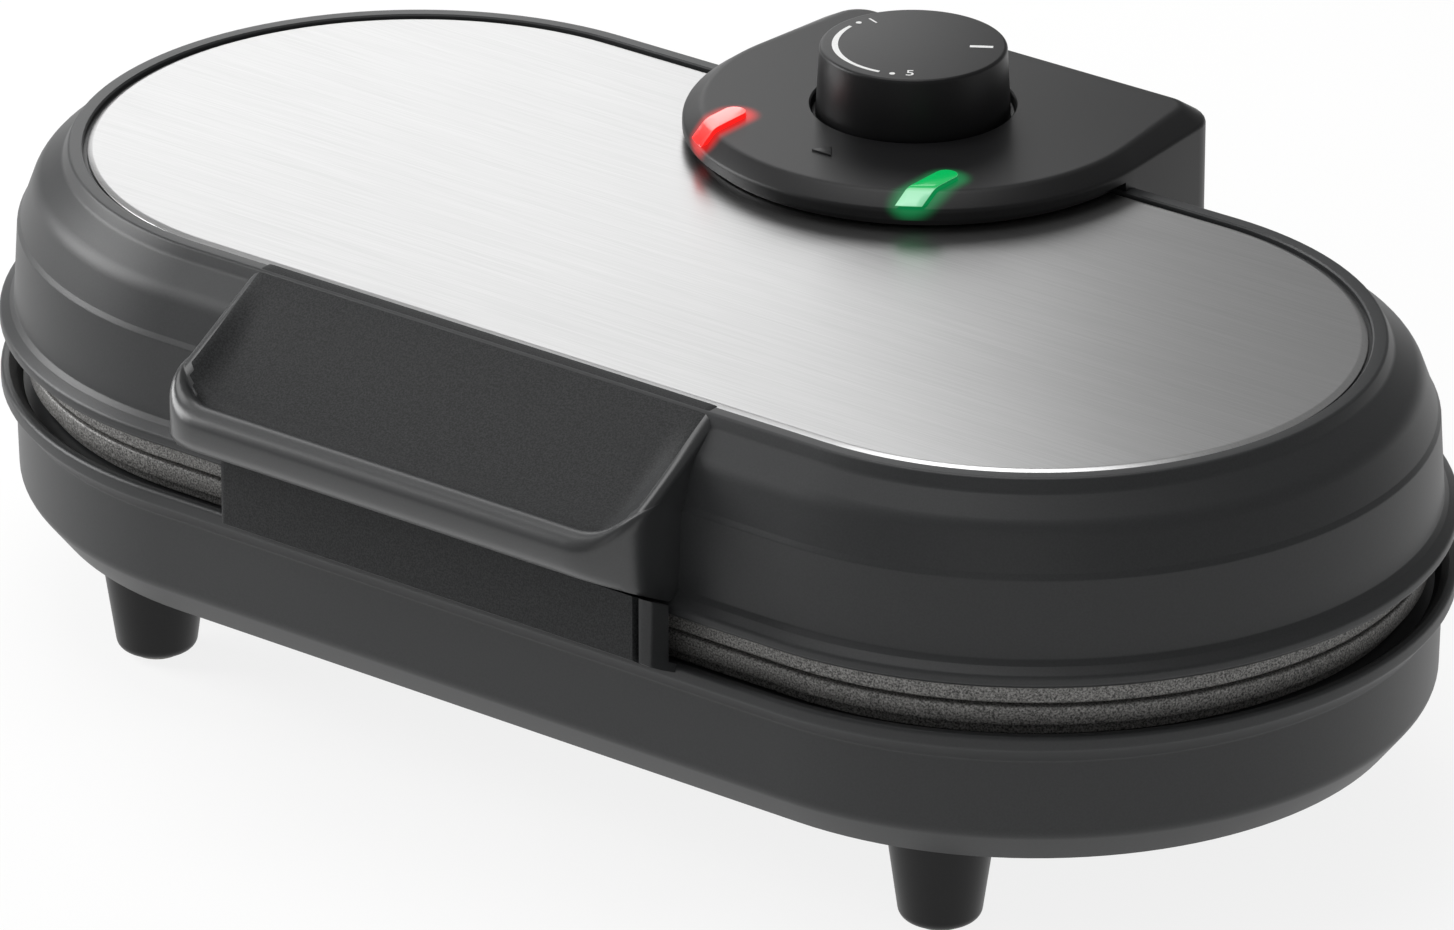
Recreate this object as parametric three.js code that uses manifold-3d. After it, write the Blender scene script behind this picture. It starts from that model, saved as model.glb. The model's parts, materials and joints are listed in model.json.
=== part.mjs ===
// Twin pancake maker with a hinged lid. Millimetres, +Z up, +X along the two plates, front at -Y.
// The origin is on the ground under the middle of the whole object.
import * as THREE from "three";
import { mergeVertices } from "three/addons/utils/BufferGeometryUtils.js";
import Module from "manifold-3d";

const wasm = await Module();
wasm.setup();

// Shared fits
const clearance = 0.3;
const overrun = 4;
const weldDistance = 0.0001;

// Cooking plates: two round pancake recesses side by side in one casting
const plateSpacing = 198;
const plateRadius = 100;
const plateThickness = 8.7;
const plateEdge = 1;
const plateGap = 0.8;
const plateWeb = 3;
const recessRadius = 93;
const recessDepth = 6;
const recessDraft = 2;
const bossRadius = 5;
const bossHeight = 12.1;
const bossAcross = 220;
const bossAlong = 60;

// Feet and their pads
const padThickness = 1.2;
const padRadius = 6.5;
const padPocket = 1;
const footHeight = 27.2;
const footTopRadius = 13.8;
const footBottomRadius = 10.2;
const footEdge = 3.6;
const footAcross = 252;
const footAlong = 146;

// Base casing, from its underside to the top of its lip
const baseHeight = 38.3;
const baseWallHeight = 28.7;
const baseFootRadius = 95.5;
const baseWallRadius = 103.2;
const baseLipRadius = 107;
const baseWall = 2.6;
const seatGap = 1.2;
const ledgeDrop = 4.2;
const ledgeThickness = 2.6;
const ledgeWidth = 6.5;
const coverThickness = 2;

// Front guard, moulded with the base
const guardHalfWidth = 66;
const guardFront = 118;
const guardThickness = 8.5;
const guardFoot = 69;
const guardGap = 0.8;
const guardCorner = 3;

// Lid casing, from its lower edge to the top of its rim
const lidLift = 6.6;
const lidHeight = 47.8;
const lidBeadHeight = 6.6;
const lidBeadRadius = 106.9;
const lidWallRadius = 103;
const lidMouthRadius = 102.4;
const rimOuterRadius = 88;
const rimInnerRadius = 84.2;
const lidWall = 2.7;
const deckDrop = 1.6;
const deckThickness = 2.5;

// Steel inlay in the lid's rim
const inlayDrop = 0.3;
const inlayGap = 1;
const inlayBevel = 1.6;
const inlayFlange = 0.2;

// Console hood at the back of the lid: sizes of its lower edge, and how far it narrows upwards
const consoleRise = 8.7;
const consoleSkirt = 42.5;
const consoleRadius = 64.4;
const consoleCenterX = 3.7;
const consoleReach = 130;
const consoleBackDepth = 45.4;
const consoleFlankShare = 0.048;
const consoleCorner = 11;
const consoleTaper = 4.1;
const consoleWall = 2.4;
const consoleSeat = 5;
const lidOpeningInset = 8;
const lidOpeningDepth = 13;

// Knob, its well and the thermostat below it
const knobAside = 2.2;
const knobForward = 3.1;
const knobTopRadius = 24.2;
const knobFootRadius = 25.2;
const knobRise = 15;
const knobFloat = 0.5;
const knobEdge = 1.1;
const knobWall = 2.1;
const knobStemRadius = 5.6;
const knobStemGap = 0.7;
const wellRadius = 26.4;
const wellDepth = 3;
const wellFloor = 2;
const shaftRadius = 3;
const shaftFlat = 0.7;
const shaftSink = 12;
const shaftTopGap = 5.5;
const bushRadius = 4.5;
const nutRadius = 7.5;
const nutThickness = 2;
const nutSides = 6;
const thermostatWidth = 30;
const thermostatDepth = 24;
const thermostatHeight = 14;
const bracketWidth = 82;
const bracketDepth = 20;
const bracketThickness = 1.3;
const bracketScrewX = 34;
const bracketBite = 3.5;

// Lamp windows, one on each side of the console
const lampOffset = 34.3;
const lampForward = 30.1;
const lampLength = 21.6;
const lampHalfWidth = 2.6;
const lensThickness = 2;
const lensSink = 0.5;
const windowDepth = 5.2;
const bulbRadius = 2.3;
const bulbLength = 12;

// Handle: a wedge on the lid's front wall with a finger bowl and a rounded lip
const handleCenterX = -4;
const handleHalfWidth = 72;
const handleReach = 130;
const handleRoot = 84;
const handleRidgeStart = 87;
const handleRidgeTop = 124.8;
const handleRidgeFront = 104.3;
const handleLipFoot = 94.3;
const handleLipRound = 3.2;
const handleHeel = 107;
const handleHeelHeight = 82.6;
const handleCorner = 15;
const handleSideRound = 4.5;
const handleBowl = 5;
const handleBowlFade = 16;
const handleScrewX = 45;
const handleScrewZ = 92;
const handleScrewSeat = 1.5;
const handleScrewShare = 0.3;

// Hinge: a pin through two ears on the base and two arms on the lid
const hingeY = 118;
const hingeZ = 74;
const hingeRadius = 8;
const pinRadius = 3;
const pinOverhang = 1.5;
const earInner = 40.3;
const earWidth = 12;
const armWidth = 13;
const earRootLow = 44;
const earRootHigh = 61;
const armRootLow = 86;
const armRootHigh = 103;
const lugBury = 1.8;

// Heating elements and reflector trays
const heaterRadius = 3.3;
const heaterLoop = 60;
const heaterGap = 14;
const reflectorRadius = 88;
const reflectorSheet = 0.6;
const reflectorWall = 6;

// Screws and the posts that they pass
const screwRadius = 1.8;
const screwHeadRadius = 3.6;
const screwHeadHeight = 2.2;
const screwBite = 8;
const postRadius = 5.6;

// Lead gland, terminal block and thermal fuse
const glandX = 72;
const glandZ = 48;
const glandRadius = 6;
const glandBore = 3.6;
const glandFlange = 8.5;
const glandFlangeThickness = 3;
const glandLength = 10;
const blockX = 45;
const blockY = 66;
const blockLength = 34;
const blockDepth = 18;
const blockHeight = 15;
const fuseReach = 99;
const fuseY = 25;
const fuseRadius = 2.2;
const fuseLength = 24;

// Heights that follow from the sizes above
const halfSpan = plateSpacing / 2;
const baseBottom = footHeight + clearance;
const coverTop = baseBottom + coverThickness;
const lipTop = baseBottom + baseHeight;
const ledgeTop = lipTop - ledgeDrop;
const lowerPlateBottom = ledgeTop + clearance;
const lowerPlateTop = lowerPlateBottom + plateThickness;
const lowerBossEnd = lowerPlateBottom - bossHeight;
const lowerTrayFloor = lowerBossEnd - clearance - reflectorSheet;
const upperPlateBottom = lowerPlateTop + plateGap;
const upperPlateTop = upperPlateBottom + plateThickness;
const upperBossEnd = upperPlateTop + bossHeight;
const upperTrayRoof = upperBossEnd + clearance + reflectorSheet;
const lidBottom = upperPlateBottom + lidLift;
const lidLedge = upperPlateTop + clearance;
const rimTop = lidBottom + lidHeight;
const deckTop = rimTop - deckDrop;
const deckUnder = deckTop - deckThickness;
const inlayTop = rimTop - inlayDrop;
const consoleTop = rimTop + consoleRise;
const consoleBottom = consoleTop - consoleSkirt;
const wellBottom = consoleTop - wellDepth;
const wellUnder = wellBottom - wellFloor;
const bracketTop = wellUnder - clearance;
const bracketUnder = bracketTop - bracketThickness;
const thermostatTop = bracketUnder - clearance;
const nutBottom = wellBottom + clearance;
const nutTop = nutBottom + nutThickness;
const knobBottom = wellBottom + knobFloat;
const knobTop = consoleTop + knobRise;
const shaftTop = knobTop - shaftTopGap;

// Places in plan that follow
const consoleCenterY = consoleReach - consoleBackDepth;
const knobX = consoleCenterX - knobAside;
const knobY = consoleCenterY - knobForward;
const lampInnerY = consoleCenterY - lampForward;

// Radii that follow
const seatRadius = plateRadius + seatGap;
const ledgeRadius = seatRadius - ledgeWidth;
const pilotRadius = screwRadius + clearance;
const guardBack = guardFront - guardThickness;
const handleUnderSlope = (handleLipFoot - handleHeelHeight) / (handleReach - handleHeel);
const handleRidgeSlope = (handleRidgeTop - handleRidgeFront) / (handleReach - handleRidgeStart);

// Steps on curves
const endSteps = 16;
const roundSteps = 32;
const smallSteps = 12;
const screwSteps = 8;
const cornerSteps = 4;

// Finishes
const blackPlastic = { color: 0x3a3b3d, roughness: 0.55, metalness: 0 };
const grainedPlastic = { color: 0x333436, roughness: 0.7, metalness: 0 };
const brushedSteel = { color: 0xc9c9c9, roughness: 0.35, metalness: 1 };
const speckledCoating = { color: 0x6e6c6a, roughness: 0.6, metalness: 0.3 };
const paleRubber = { color: 0xd8d6d0, roughness: 0.8, metalness: 0 };
const plainSteel = { color: 0x9a9a9a, roughness: 0.4, metalness: 1 };
const tinnedSheet = { color: 0xb8b8b4, roughness: 0.3, metalness: 1 };
const redLens = { color: 0xe0201c, roughness: 0.2, metalness: 0 };
const greenLens = { color: 0x0c9a4c, roughness: 0.2, metalness: 0 };
const clearGlass = { color: 0xf0e4d8, roughness: 0.1, metalness: 0 };
const paleCeramic = { color: 0xe6e0d2, roughness: 0.7, metalness: 0 };

// Closed surfaces and solids

// Merges a geometry's corners and makes it a solid whose faces point out.
function solidOf(geometry) {
  const bare = geometry.index ? geometry.toNonIndexed() : geometry;
  const corners = new THREE.BufferGeometry();
  corners.setAttribute("position", bare.getAttribute("position"));
  const merged = mergeVertices(corners, weldDistance);
  const faces = [];
  for (let i = 0; i < merged.index.count; i += 3) {
    const [a, b, c] = merged.index.array.slice(i, i + 3);
    if (a !== b && b !== c && c !== a) faces.push([a, b, c]);
  }
  const made = (list) => new wasm.Manifold(
    new wasm.Mesh({
      numProp: 3,
      vertProperties: merged.attributes.position.array,
      triVerts: new Uint32Array(list.flat()),
    }),
  );
  const solid = made(faces);
  return solid.volume() > 0 ? solid : made(faces.map(([a, b, c]) => [a, c, b]));
}

function geometryOf(solid) {
  const mesh = solid.getMesh();
  const geometry = new THREE.BufferGeometry();
  geometry.setAttribute("position", new THREE.BufferAttribute(mesh.vertProperties, 3));
  geometry.setIndex(new THREE.BufferAttribute(mesh.triVerts, 1));
  return geometry;
}

function join(first, ...others) {
  return others.reduce((all, solid) => all.add(solid), first);
}

function cut(first, ...others) {
  return others.reduce((rest, solid) => rest.subtract(solid), first);
}

// Faces between loops of equally many points, from each loop to the next.
function bands(pairs, count) {
  const faces = [];
  for (const [low, high] of pairs) {
    for (let j = 0; j < count; j += 1) {
      const k = (j + 1) % count;
      faces.push(low * count + j, low * count + k, high * count + k);
      faces.push(low * count + j, high * count + k, high * count + j);
    }
  }
  return faces;
}

function facesToSolid(points, faces) {
  const geometry = new THREE.BufferGeometry().setFromPoints(points);
  geometry.setIndex(faces);
  return solidOf(geometry);
}

// A body through a row of loops, closed at both ends by fans.
function loft(loops) {
  const count = loops[0].length;
  const points = loops.flat();
  const faces = bands(loops.slice(1).map((_, i) => [i, i + 1]), count);
  for (const [row, first, second] of [[0, 1, 0], [loops.length - 1, 0, 1]]) {
    const middle = new THREE.Vector3();
    loops[row].forEach((point) => middle.addScaledVector(point, 1 / count));
    points.push(middle);
    for (let j = 0; j < count; j += 1) {
      const edge = [row * count + j, row * count + ((j + 1) % count)];
      faces.push(edge[first], edge[second], points.length - 1);
    }
  }
  return facesToSolid(points, faces);
}

// The plan outline that every layer shares: two half circles joined by straight sides.
function stadium(radius, z) {
  const points = [];
  for (const [center, first] of [[halfSpan, -Math.PI / 2], [-halfSpan, Math.PI / 2]]) {
    for (let i = 0; i <= endSteps; i += 1) {
      const angle = first + (Math.PI * i) / endSteps;
      const x = center + radius * Math.cos(angle);
      points.push(new THREE.Vector3(x, radius * Math.sin(angle), z));
    }
  }
  return points;
}

// Stacked plan outlines: levels are [radius, height].
function slab(levels) {
  return loft(levels.map(([radius, z]) => stadium(radius, z)));
}

// A closed profile of [radius, height] points swept round the plan outline.
function ring(profile) {
  const loops = profile.map(([radius, z]) => stadium(radius, z));
  const pairs = profile.map((_, i) => [i, (i + 1) % profile.length]);
  return facesToSolid(loops.flat(), bands(pairs, loops[0].length));
}

// A turned body about the vertical axis: profile is [radius, height], from the axis to the axis.
function turned(profile, steps = roundSteps) {
  const outline = profile.map(([radius, height]) => new THREE.Vector2(radius, height));
  const geometry = new THREE.LatheGeometry(outline, steps);
  geometry.rotateX(Math.PI / 2);
  return solidOf(geometry);
}

function disc(radius, low, high, steps = roundSteps) {
  return turned([[0, low], [radius, low], [radius, high], [0, high]], steps);
}

// Two heights or places with the smaller one first.
function rising(first, second) {
  return [Math.min(first, second), Math.max(first, second)];
}

function at(solid, x, y) {
  return solid.translate([x, y, 0]);
}

// A box from its sizes in plan and its two heights, centred on the vertical axis.
function box(sizeX, sizeY, low, high) {
  const geometry = new THREE.BoxGeometry(sizeX, sizeY, high - low);
  geometry.translate(0, 0, (low + high) / 2);
  return solidOf(geometry);
}

function rodX(radius, from, to, y, z, steps = smallSteps) {
  const geometry = new THREE.CylinderGeometry(radius, radius, to - from, steps);
  geometry.rotateZ(Math.PI / 2);
  geometry.translate((from + to) / 2, y, z);
  return solidOf(geometry);
}

function rodY(radius, from, to, x, z, steps = smallSteps) {
  const geometry = new THREE.CylinderGeometry(radius, radius, to - from, steps);
  geometry.translate(x, (from + to) / 2, z);
  return solidOf(geometry);
}

// An outline of [y, z] points extruded along X.
function alongX(outline, from, to) {
  const shape = new THREE.Shape(outline.map(([y, z]) => new THREE.Vector2(y, z)));
  const geometry = new THREE.ExtrudeGeometry(shape, { depth: to - from, bevelEnabled: false });
  const sideways = new THREE.Matrix4().makeBasis(
    new THREE.Vector3(0, 1, 0),
    new THREE.Vector3(0, 0, 1),
    new THREE.Vector3(1, 0, 0),
  );
  geometry.applyMatrix4(sideways);
  geometry.translate(from, 0, 0);
  return solidOf(geometry);
}

// An upright block whose two front corners are rounded in plan.
function roundedFront(halfWidth, front, back, corner, low, high) {
  const shape = new THREE.Shape();
  shape.moveTo(-halfWidth, -back);
  shape.absarc(-halfWidth + corner, -front + corner, corner, Math.PI, Math.PI * 1.5, false);
  shape.absarc(halfWidth - corner, -front + corner, corner, -Math.PI / 2, 0, false);
  shape.lineTo(halfWidth, -back);
  shape.closePath();
  const options = { depth: high - low, bevelEnabled: false, curveSegments: cornerSteps };
  const geometry = new THREE.ExtrudeGeometry(shape, options);
  geometry.translate(0, 0, low);
  return solidOf(geometry);
}

// Points given as shares of a box of sizes.
function inBox(shares, x0, x1, z0, z1) {
  return shares.map(([across, up]) => [x0 + (x1 - x0) * across, z0 + (z1 - z0) * up]);
}

// The four places of a pattern that is the same about both axes.
function fourPlaces(across, along) {
  return [[-1, -1], [1, -1], [1, 1], [-1, 1]].map(([x, y]) => [(x * across) / 2, (y * along) / 2]);
}

const bossPlaces = fourPlaces(bossAcross, bossAlong);

// Upright cylinders at a list of places.
function columns(places, radius, low, high, steps = smallSteps) {
  return places.map(([x, y]) => at(disc(radius, low, high, steps), x, y));
}

// Base casing, its front guard and the hinge's ears

const baseWallShares = [[0, 0], [0.7, 0.26], [0.95, 0.42], [1, 1]];
const baseLipShares = [[0.26, 0.3], [0.74, 0.5], [1, 0.72], [1, 0.88], [0.82, 1], [0.55, 1]];

const baseWallTop = baseBottom + baseWallHeight;
const baseWallOutside = inBox(baseWallShares, baseFootRadius, baseWallRadius, baseBottom, baseWallTop);
const baseLipOutside = inBox(baseLipShares, baseWallRadius, baseLipRadius, baseWallTop, lipTop);

function baseProfile() {
  const inside = baseWallOutside.map(([radius, z]) => [radius - baseWall, z]).reverse();
  const ledgeUnder = ledgeTop - ledgeThickness;
  inside[0][1] = ledgeUnder;
  const ledge = [[seatRadius, ledgeTop], [ledgeRadius, ledgeTop], [ledgeRadius, ledgeUnder]];
  return [...baseWallOutside, ...baseLipOutside, ...ledge, ...inside];
}

// Everything inside the base's outer surface, a clearance larger.
function baseEnvelope() {
  const levels = [...baseWallOutside, ...baseLipOutside].map(([radius, z]) => [radius + clearance, z]);
  const [topRadius] = levels[levels.length - 1];
  return slab([...levels, [topRadius, lipTop + clearance]]);
}

// The height of the handle's underside at a distance in front of the axis, level past its end.
function handleUnder(distance) {
  const along = Math.min(distance, handleReach) - handleHeel;
  return handleHeelHeight + Math.max(along, 0) * handleUnderSlope;
}

function frontGuard() {
  const bury = baseLipRadius - baseWall;
  const outline = [
    [-guardFront, guardFoot + guardCorner / 2],
    [-guardFront, handleUnder(guardFront) - guardGap],
    [-guardBack, handleUnder(guardBack) - guardGap],
    [-guardBack, lipTop + guardCorner],
    [-bury, lipTop - clearance],
    [-bury, ledgeTop],
    [-guardFront + guardCorner, guardFoot - guardCorner / 2],
  ];
  const plain = alongX(outline, -guardHalfWidth, guardHalfWidth);
  const rounded = roundedFront(guardHalfWidth, guardFront, 0, guardCorner, baseBottom, rimTop);
  return cut(plain.intersect(rounded), baseEnvelope());
}

// A lug: the outline stretched between the hinge boss and its root on a casing's wall.
function lug(rootY, rootLow, rootHigh, from, to) {
  const tangent = (rootZ, side) => {
    const away = Math.hypot(rootY - hingeY, rootZ - hingeZ);
    return Math.atan2(rootZ - hingeZ, rootY - hingeY) + side * Math.acos(hingeRadius / away);
  };
  const first = tangent(rootLow, 1);
  let last = tangent(rootHigh, -1);
  while (last < first) last += 2 * Math.PI;
  const outline = [[rootY, rootLow]];
  for (let i = 0; i <= smallSteps; i += 1) {
    const angle = first + ((last - first) * i) / smallSteps;
    outline.push([hingeY + hingeRadius * Math.cos(angle), hingeZ + hingeRadius * Math.sin(angle)]);
  }
  outline.push([rootY, rootHigh]);
  return alongX(outline, from, to);
}

const pinBore = rodX(pinRadius + clearance, -earInner - earWidth - overrun,
  earInner + earWidth + overrun, hingeY, hingeZ);

// An ear of the hinge on the base's back wall: side is -1 on the left and 1 on the right.
function hingeEar(side) {
  const ends = rising(side * earInner, side * (earInner + earWidth));
  const ear = lug(baseWallRadius - lugBury, earRootLow, earRootHigh, ...ends);
  return cut(ear, baseEnvelope(), pinBore);
}

function baseShell() {
  const glandHole = rodY(glandRadius + clearance, baseWallRadius - baseWall - overrun,
    baseWallRadius + overrun, glandX, glandZ);
  return cut(ring(baseProfile()), glandHole);
}

function bottomCover() {
  const radius = baseFootRadius - baseWall - clearance;
  const plate = slab([[radius, baseBottom], [radius, coverTop]]);
  const postTop = lowerTrayFloor - clearance;
  const headRoom = baseBottom + clearance + screwHeadHeight + clearance;
  const posts = columns(bossPlaces, postRadius, coverTop - coverThickness / 2, postTop);
  const bores = columns(bossPlaces, pilotRadius, baseBottom - overrun, postTop + overrun, screwSteps);
  const headSeats = columns(bossPlaces, screwHeadRadius + clearance, baseBottom - overrun, headRoom);
  return cut(join(plate, ...posts), ...bores, ...headSeats);
}

const footEdgeShares = [[0, 0], [0.5, 0.13], [0.87, 0.5], [1, 1]];

function foot() {
  const edge = inBox(footEdgeShares, footBottomRadius - footEdge, footBottomRadius,
    padThickness, padThickness + footEdge);
  const body = turned([[0, padThickness], ...edge, [footTopRadius, footHeight], [0, footHeight]],
    roundSteps / 2);
  const pocket = disc(padRadius + clearance, padThickness - overrun, padThickness + padPocket,
    roundSteps / 2);
  return cut(body, pocket);
}

function footPad() {
  return disc(padRadius, 0, padThickness + padPocket - clearance, roundSteps / 2);
}

// Cooking plates. The lower one faces up; the upper one is the same casting turned over.

function plate(face, back) {
  const up = Math.sign(face - back);
  const body = slab([
    [plateRadius - plateEdge, back],
    [plateRadius, back + up * plateEdge],
    [plateRadius, face - up * plateEdge],
    [plateRadius - plateEdge, face],
  ]);
  const floor = face - up * recessDepth;
  const open = face + up * overrun;
  const recess = turned([
    [0, floor],
    [recessRadius - recessDraft, floor],
    [recessRadius, face],
    [recessRadius, open],
    [0, open],
  ]);
  const web = plateRadius - plateWeb;
  const panPlaces = [[halfSpan, 0], [-halfSpan, 0]];
  const panEnds = rising(back - up * overrun * 2, face);
  const pans = columns(panPlaces, recessRadius + plateWeb, ...panEnds, roundSteps);
  const pocket = cut(slab([[web, back - up * overrun], [web, face - up * plateWeb]]), ...pans);
  const bossEnd = back - up * bossHeight;
  const [low, high] = rising(bossEnd, back + up * plateEdge);
  const bosses = columns(bossPlaces, bossRadius, low, high);
  const biteEnd = bossEnd + up * (screwBite + clearance);
  const [pilotLow, pilotHigh] = rising(bossEnd - up * overrun, biteEnd);
  const pilots = columns(bossPlaces, pilotRadius, pilotLow, pilotHigh, screwSteps);
  const recesses = panPlaces.map(([x, y]) => at(recess, x, y));
  return cut(join(cut(body, pocket), ...bosses), ...recesses, ...pilots);
}

// One tube bent round both recesses, with its two ends facing each other at the back.
function heater(z) {
  const section = (x, y, heading) => {
    const loop = [];
    for (let i = 0; i < screwSteps; i += 1) {
      const angle = (2 * Math.PI * i) / screwSteps;
      const out = heaterRadius * Math.cos(angle);
      const side = new THREE.Vector3(out * Math.cos(heading), out * Math.sin(heading), 0);
      loop.push(new THREE.Vector3(x, y, z + heaterRadius * Math.sin(angle)).add(side));
    }
    return loop;
  };
  const loops = [section(heaterGap / 2, heaterLoop, Math.PI / 2)];
  for (const [center, first] of [[halfSpan, Math.PI / 2], [-halfSpan, -Math.PI / 2]]) {
    for (let i = 0; i <= endSteps; i += 1) {
      const heading = first - (Math.PI * i) / endSteps;
      const x = center + heaterLoop * Math.cos(heading);
      loops.push(section(x, heaterLoop * Math.sin(heading), heading));
    }
  }
  loops.push(section(-heaterGap / 2, heaterLoop, Math.PI / 2));
  return loft(loops);
}

// A sheet tray, open towards the plate, with a hole at each screw.
function tray(floor, mouth) {
  const up = Math.sign(mouth - floor);
  const body = slab([[reflectorRadius, floor], [reflectorRadius, mouth]]);
  const inner = reflectorRadius - reflectorSheet;
  const hollow = slab([[inner, floor + up * reflectorSheet], [inner, mouth + up * overrun]]);
  const [low, high] = rising(floor - up * overrun, mouth);
  return cut(body, hollow, ...columns(bossPlaces, pilotRadius, low, high, screwSteps));
}

// A screw standing on its axis: from the top of its head to its tip.
function screw(headOuter, tip) {
  const down = Math.sign(tip - headOuter);
  const neck = headOuter + down * screwHeadHeight;
  return turned([
    [0, headOuter], [screwHeadRadius, headOuter], [screwHeadRadius, neck],
    [screwRadius, neck], [screwRadius, tip], [0, tip],
  ], screwSteps);
}

function leadGland() {
  const flangeFrom = baseWallRadius + clearance;
  const body = rodY(glandRadius, flangeFrom - glandLength, flangeFrom + clearance, glandX, glandZ);
  const flange = rodY(glandFlange, flangeFrom, flangeFrom + glandFlangeThickness, glandX, glandZ);
  const bore = rodY(glandBore, flangeFrom - glandLength - overrun,
    flangeFrom + glandFlangeThickness + overrun, glandX, glandZ);
  return cut(join(body, flange), bore);
}

function terminalBlock() {
  const low = coverTop + clearance;
  return at(box(blockLength, blockDepth, low, low + blockHeight), blockX, blockY);
}

// Lid casing

const lidBeadShares = [[0.56, 0], [0.9, 0.15], [1, 0.33], [0.9, 0.49], [0.31, 0.64], [0.08, 0.79]];
const lidWallShares = [[1, 0], [0.967, 0.18], [0.887, 0.447], [0.813, 0.568], [0.707, 0.709],
  [0.573, 0.791], [0.42, 0.85], [0.173, 0.915], [0.047, 0.942], [0.013, 0.971], [-0.053, 0.993]];
const lidInnerShares = [[0, 1], [0.22, 0.961], [0.487, 0.883], [0.693, 0.767], [0.82, 0.64],
  [0.887, 0.526], [0.973, 0.275]];

function lidOutside() {
  const wallFoot = lidBottom + lidBeadHeight;
  return [
    ...inBox(lidBeadShares, lidWallRadius, lidBeadRadius, lidBottom, wallFoot),
    ...inBox(lidWallShares, rimOuterRadius, lidWallRadius, wallFoot, rimTop),
    [rimInnerRadius, rimTop],
  ];
}

function lidProfile() {
  const deckEdge = rimInnerRadius - lidWall;
  const innerRadius = lidWallRadius - lidWall;
  const ledgeUpper = lidLedge + ledgeThickness;
  return [
    ...lidOutside(),
    [rimInnerRadius, deckTop], [deckEdge, deckTop], [deckEdge, deckUnder],
    ...inBox(lidInnerShares, rimOuterRadius - lidWall, innerRadius, lidBottom, deckUnder),
    [innerRadius, ledgeUpper], [ledgeRadius, ledgeUpper], [ledgeRadius, lidLedge],
    [lidMouthRadius, lidLedge], [lidMouthRadius, lidBottom],
  ];
}

// Everything inside the lid's outer surface, a clearance larger.
function lidEnvelope() {
  const levels = lidOutside().map(([radius, z]) => [radius + clearance, z]);
  const last = levels.length - 1;
  levels[last] = [rimInnerRadius, rimTop + clearance];
  return slab([[levels[0][0], lidBottom - clearance], ...levels]);
}

const armOuter = earInner - clearance;

// The two ends along X of an arm of the hinge, just inside its ear.
function armEnds(side) {
  return rising(side * armOuter, side * (armOuter - armWidth));
}

// An arm of the hinge on the lid's back wall.
function hingeArm(side) {
  const arm = lug(lidWallRadius - lugBury, armRootLow, armRootHigh, ...armEnds(side));
  return cut(arm, lidEnvelope(), pinBore);
}

// The room that an arm needs where a cover passes over it.
function armRoom(side) {
  const [from, to] = armEnds(side);
  const back = hingeY + hingeRadius + clearance;
  const room = box(to - from + clearance * 2, back - rimOuterRadius, lidBottom, armRootHigh + clearance);
  return at(room, (from + to) / 2, (back + rimOuterRadius) / 2);
}

// The console's plan outline: a round front, two nearly straight sides and rounded back corners.
function consoleOutline(inset, backInset, z) {
  const front = consoleRadius - inset;
  const corner = Math.max(consoleCorner - inset, consoleCorner / 4);
  const normal = Math.atan(consoleFlankShare);
  const cornerY = consoleBackDepth - backInset - corner;
  const cornerX = (front - corner - cornerY * Math.sin(normal)) / Math.cos(normal);
  const points = [];
  const arc = (x, y, radius, first, last, steps) => {
    for (let i = 0; i <= steps; i += 1) {
      const angle = first + ((last - first) * i) / steps;
      points.push(new THREE.Vector3(
        consoleCenterX + x + radius * Math.cos(angle),
        consoleCenterY + y + radius * Math.sin(angle),
        z,
      ));
    }
  };
  arc(0, 0, front, -Math.PI - normal, normal, roundSteps - cornerSteps);
  arc(cornerX, cornerY, corner, normal, Math.PI / 2, cornerSteps);
  arc(-cornerX, cornerY, corner, Math.PI / 2, Math.PI - normal, cornerSteps);
  return points;
}

const hoodShares = [[0, 0], [0.795, 0.24], [0.835, 0.25], [0.85, 0.37], [0.93, 0.62], [1, 1]];

// The hood's outer form, made smaller all round by a thickness.
function hoodForm(shrink, low) {
  const loops = hoodShares.map(([up, narrow]) => {
    const inset = consoleTaper * narrow;
    const z = up > 0 ? Math.min(consoleBottom + consoleSkirt * up, consoleTop - shrink) : low;
    return consoleOutline(inset + shrink, inset / 2 + shrink, z);
  });
  return loft(loops);
}

// An upright block inside the console's outline.
function consoleBlock(inset, low, high) {
  return loft([consoleOutline(inset, inset, low), consoleOutline(inset, inset, high)]);
}

function lidShell() {
  const deckRadius = rimInnerRadius - lidWall / 2;
  const deck = slab([[deckRadius, deckUnder], [deckRadius, deckTop]]);
  const opening = consoleBlock(lidOpeningInset, rimTop - lidOpeningDepth, rimTop + overrun);
  const postEnd = upperTrayRoof + clearance;
  const headSeat = deckTop - clearance - screwHeadHeight - clearance;
  const posts = columns(bossPlaces, postRadius, postEnd, deckTop - deckThickness / 2);
  const bores = columns(bossPlaces, pilotRadius, postEnd - overrun, rimTop, screwSteps);
  const seats = columns(bossPlaces, screwHeadRadius + clearance, headSeat, rimTop);
  const screwHoles = handleScrewPlaces.map((x) => rodY(pilotRadius, -lidWallRadius - overrun,
    -lidWallRadius + lidWall + overrun, x, handleScrewZ, screwSteps));
  const shell = join(ring(lidProfile()), deck, ...posts);
  return cut(shell, opening, ...bores, ...seats, ...screwHoles);
}

function lidInlay() {
  const radius = rimInnerRadius - inlayGap;
  const sheet = slab([
    [radius, deckTop + clearance],
    [radius, deckTop + clearance + inlayFlange],
    [radius - inlayBevel, inlayTop],
  ]);
  return cut(sheet, consoleBlock(consoleSeat, deckTop - overrun, rimTop + overrun));
}

// Console hood

const windowPlaces = [consoleCenterX - lampOffset, consoleCenterX + lampOffset];
const windowFoot = consoleTop - windowDepth;

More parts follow.
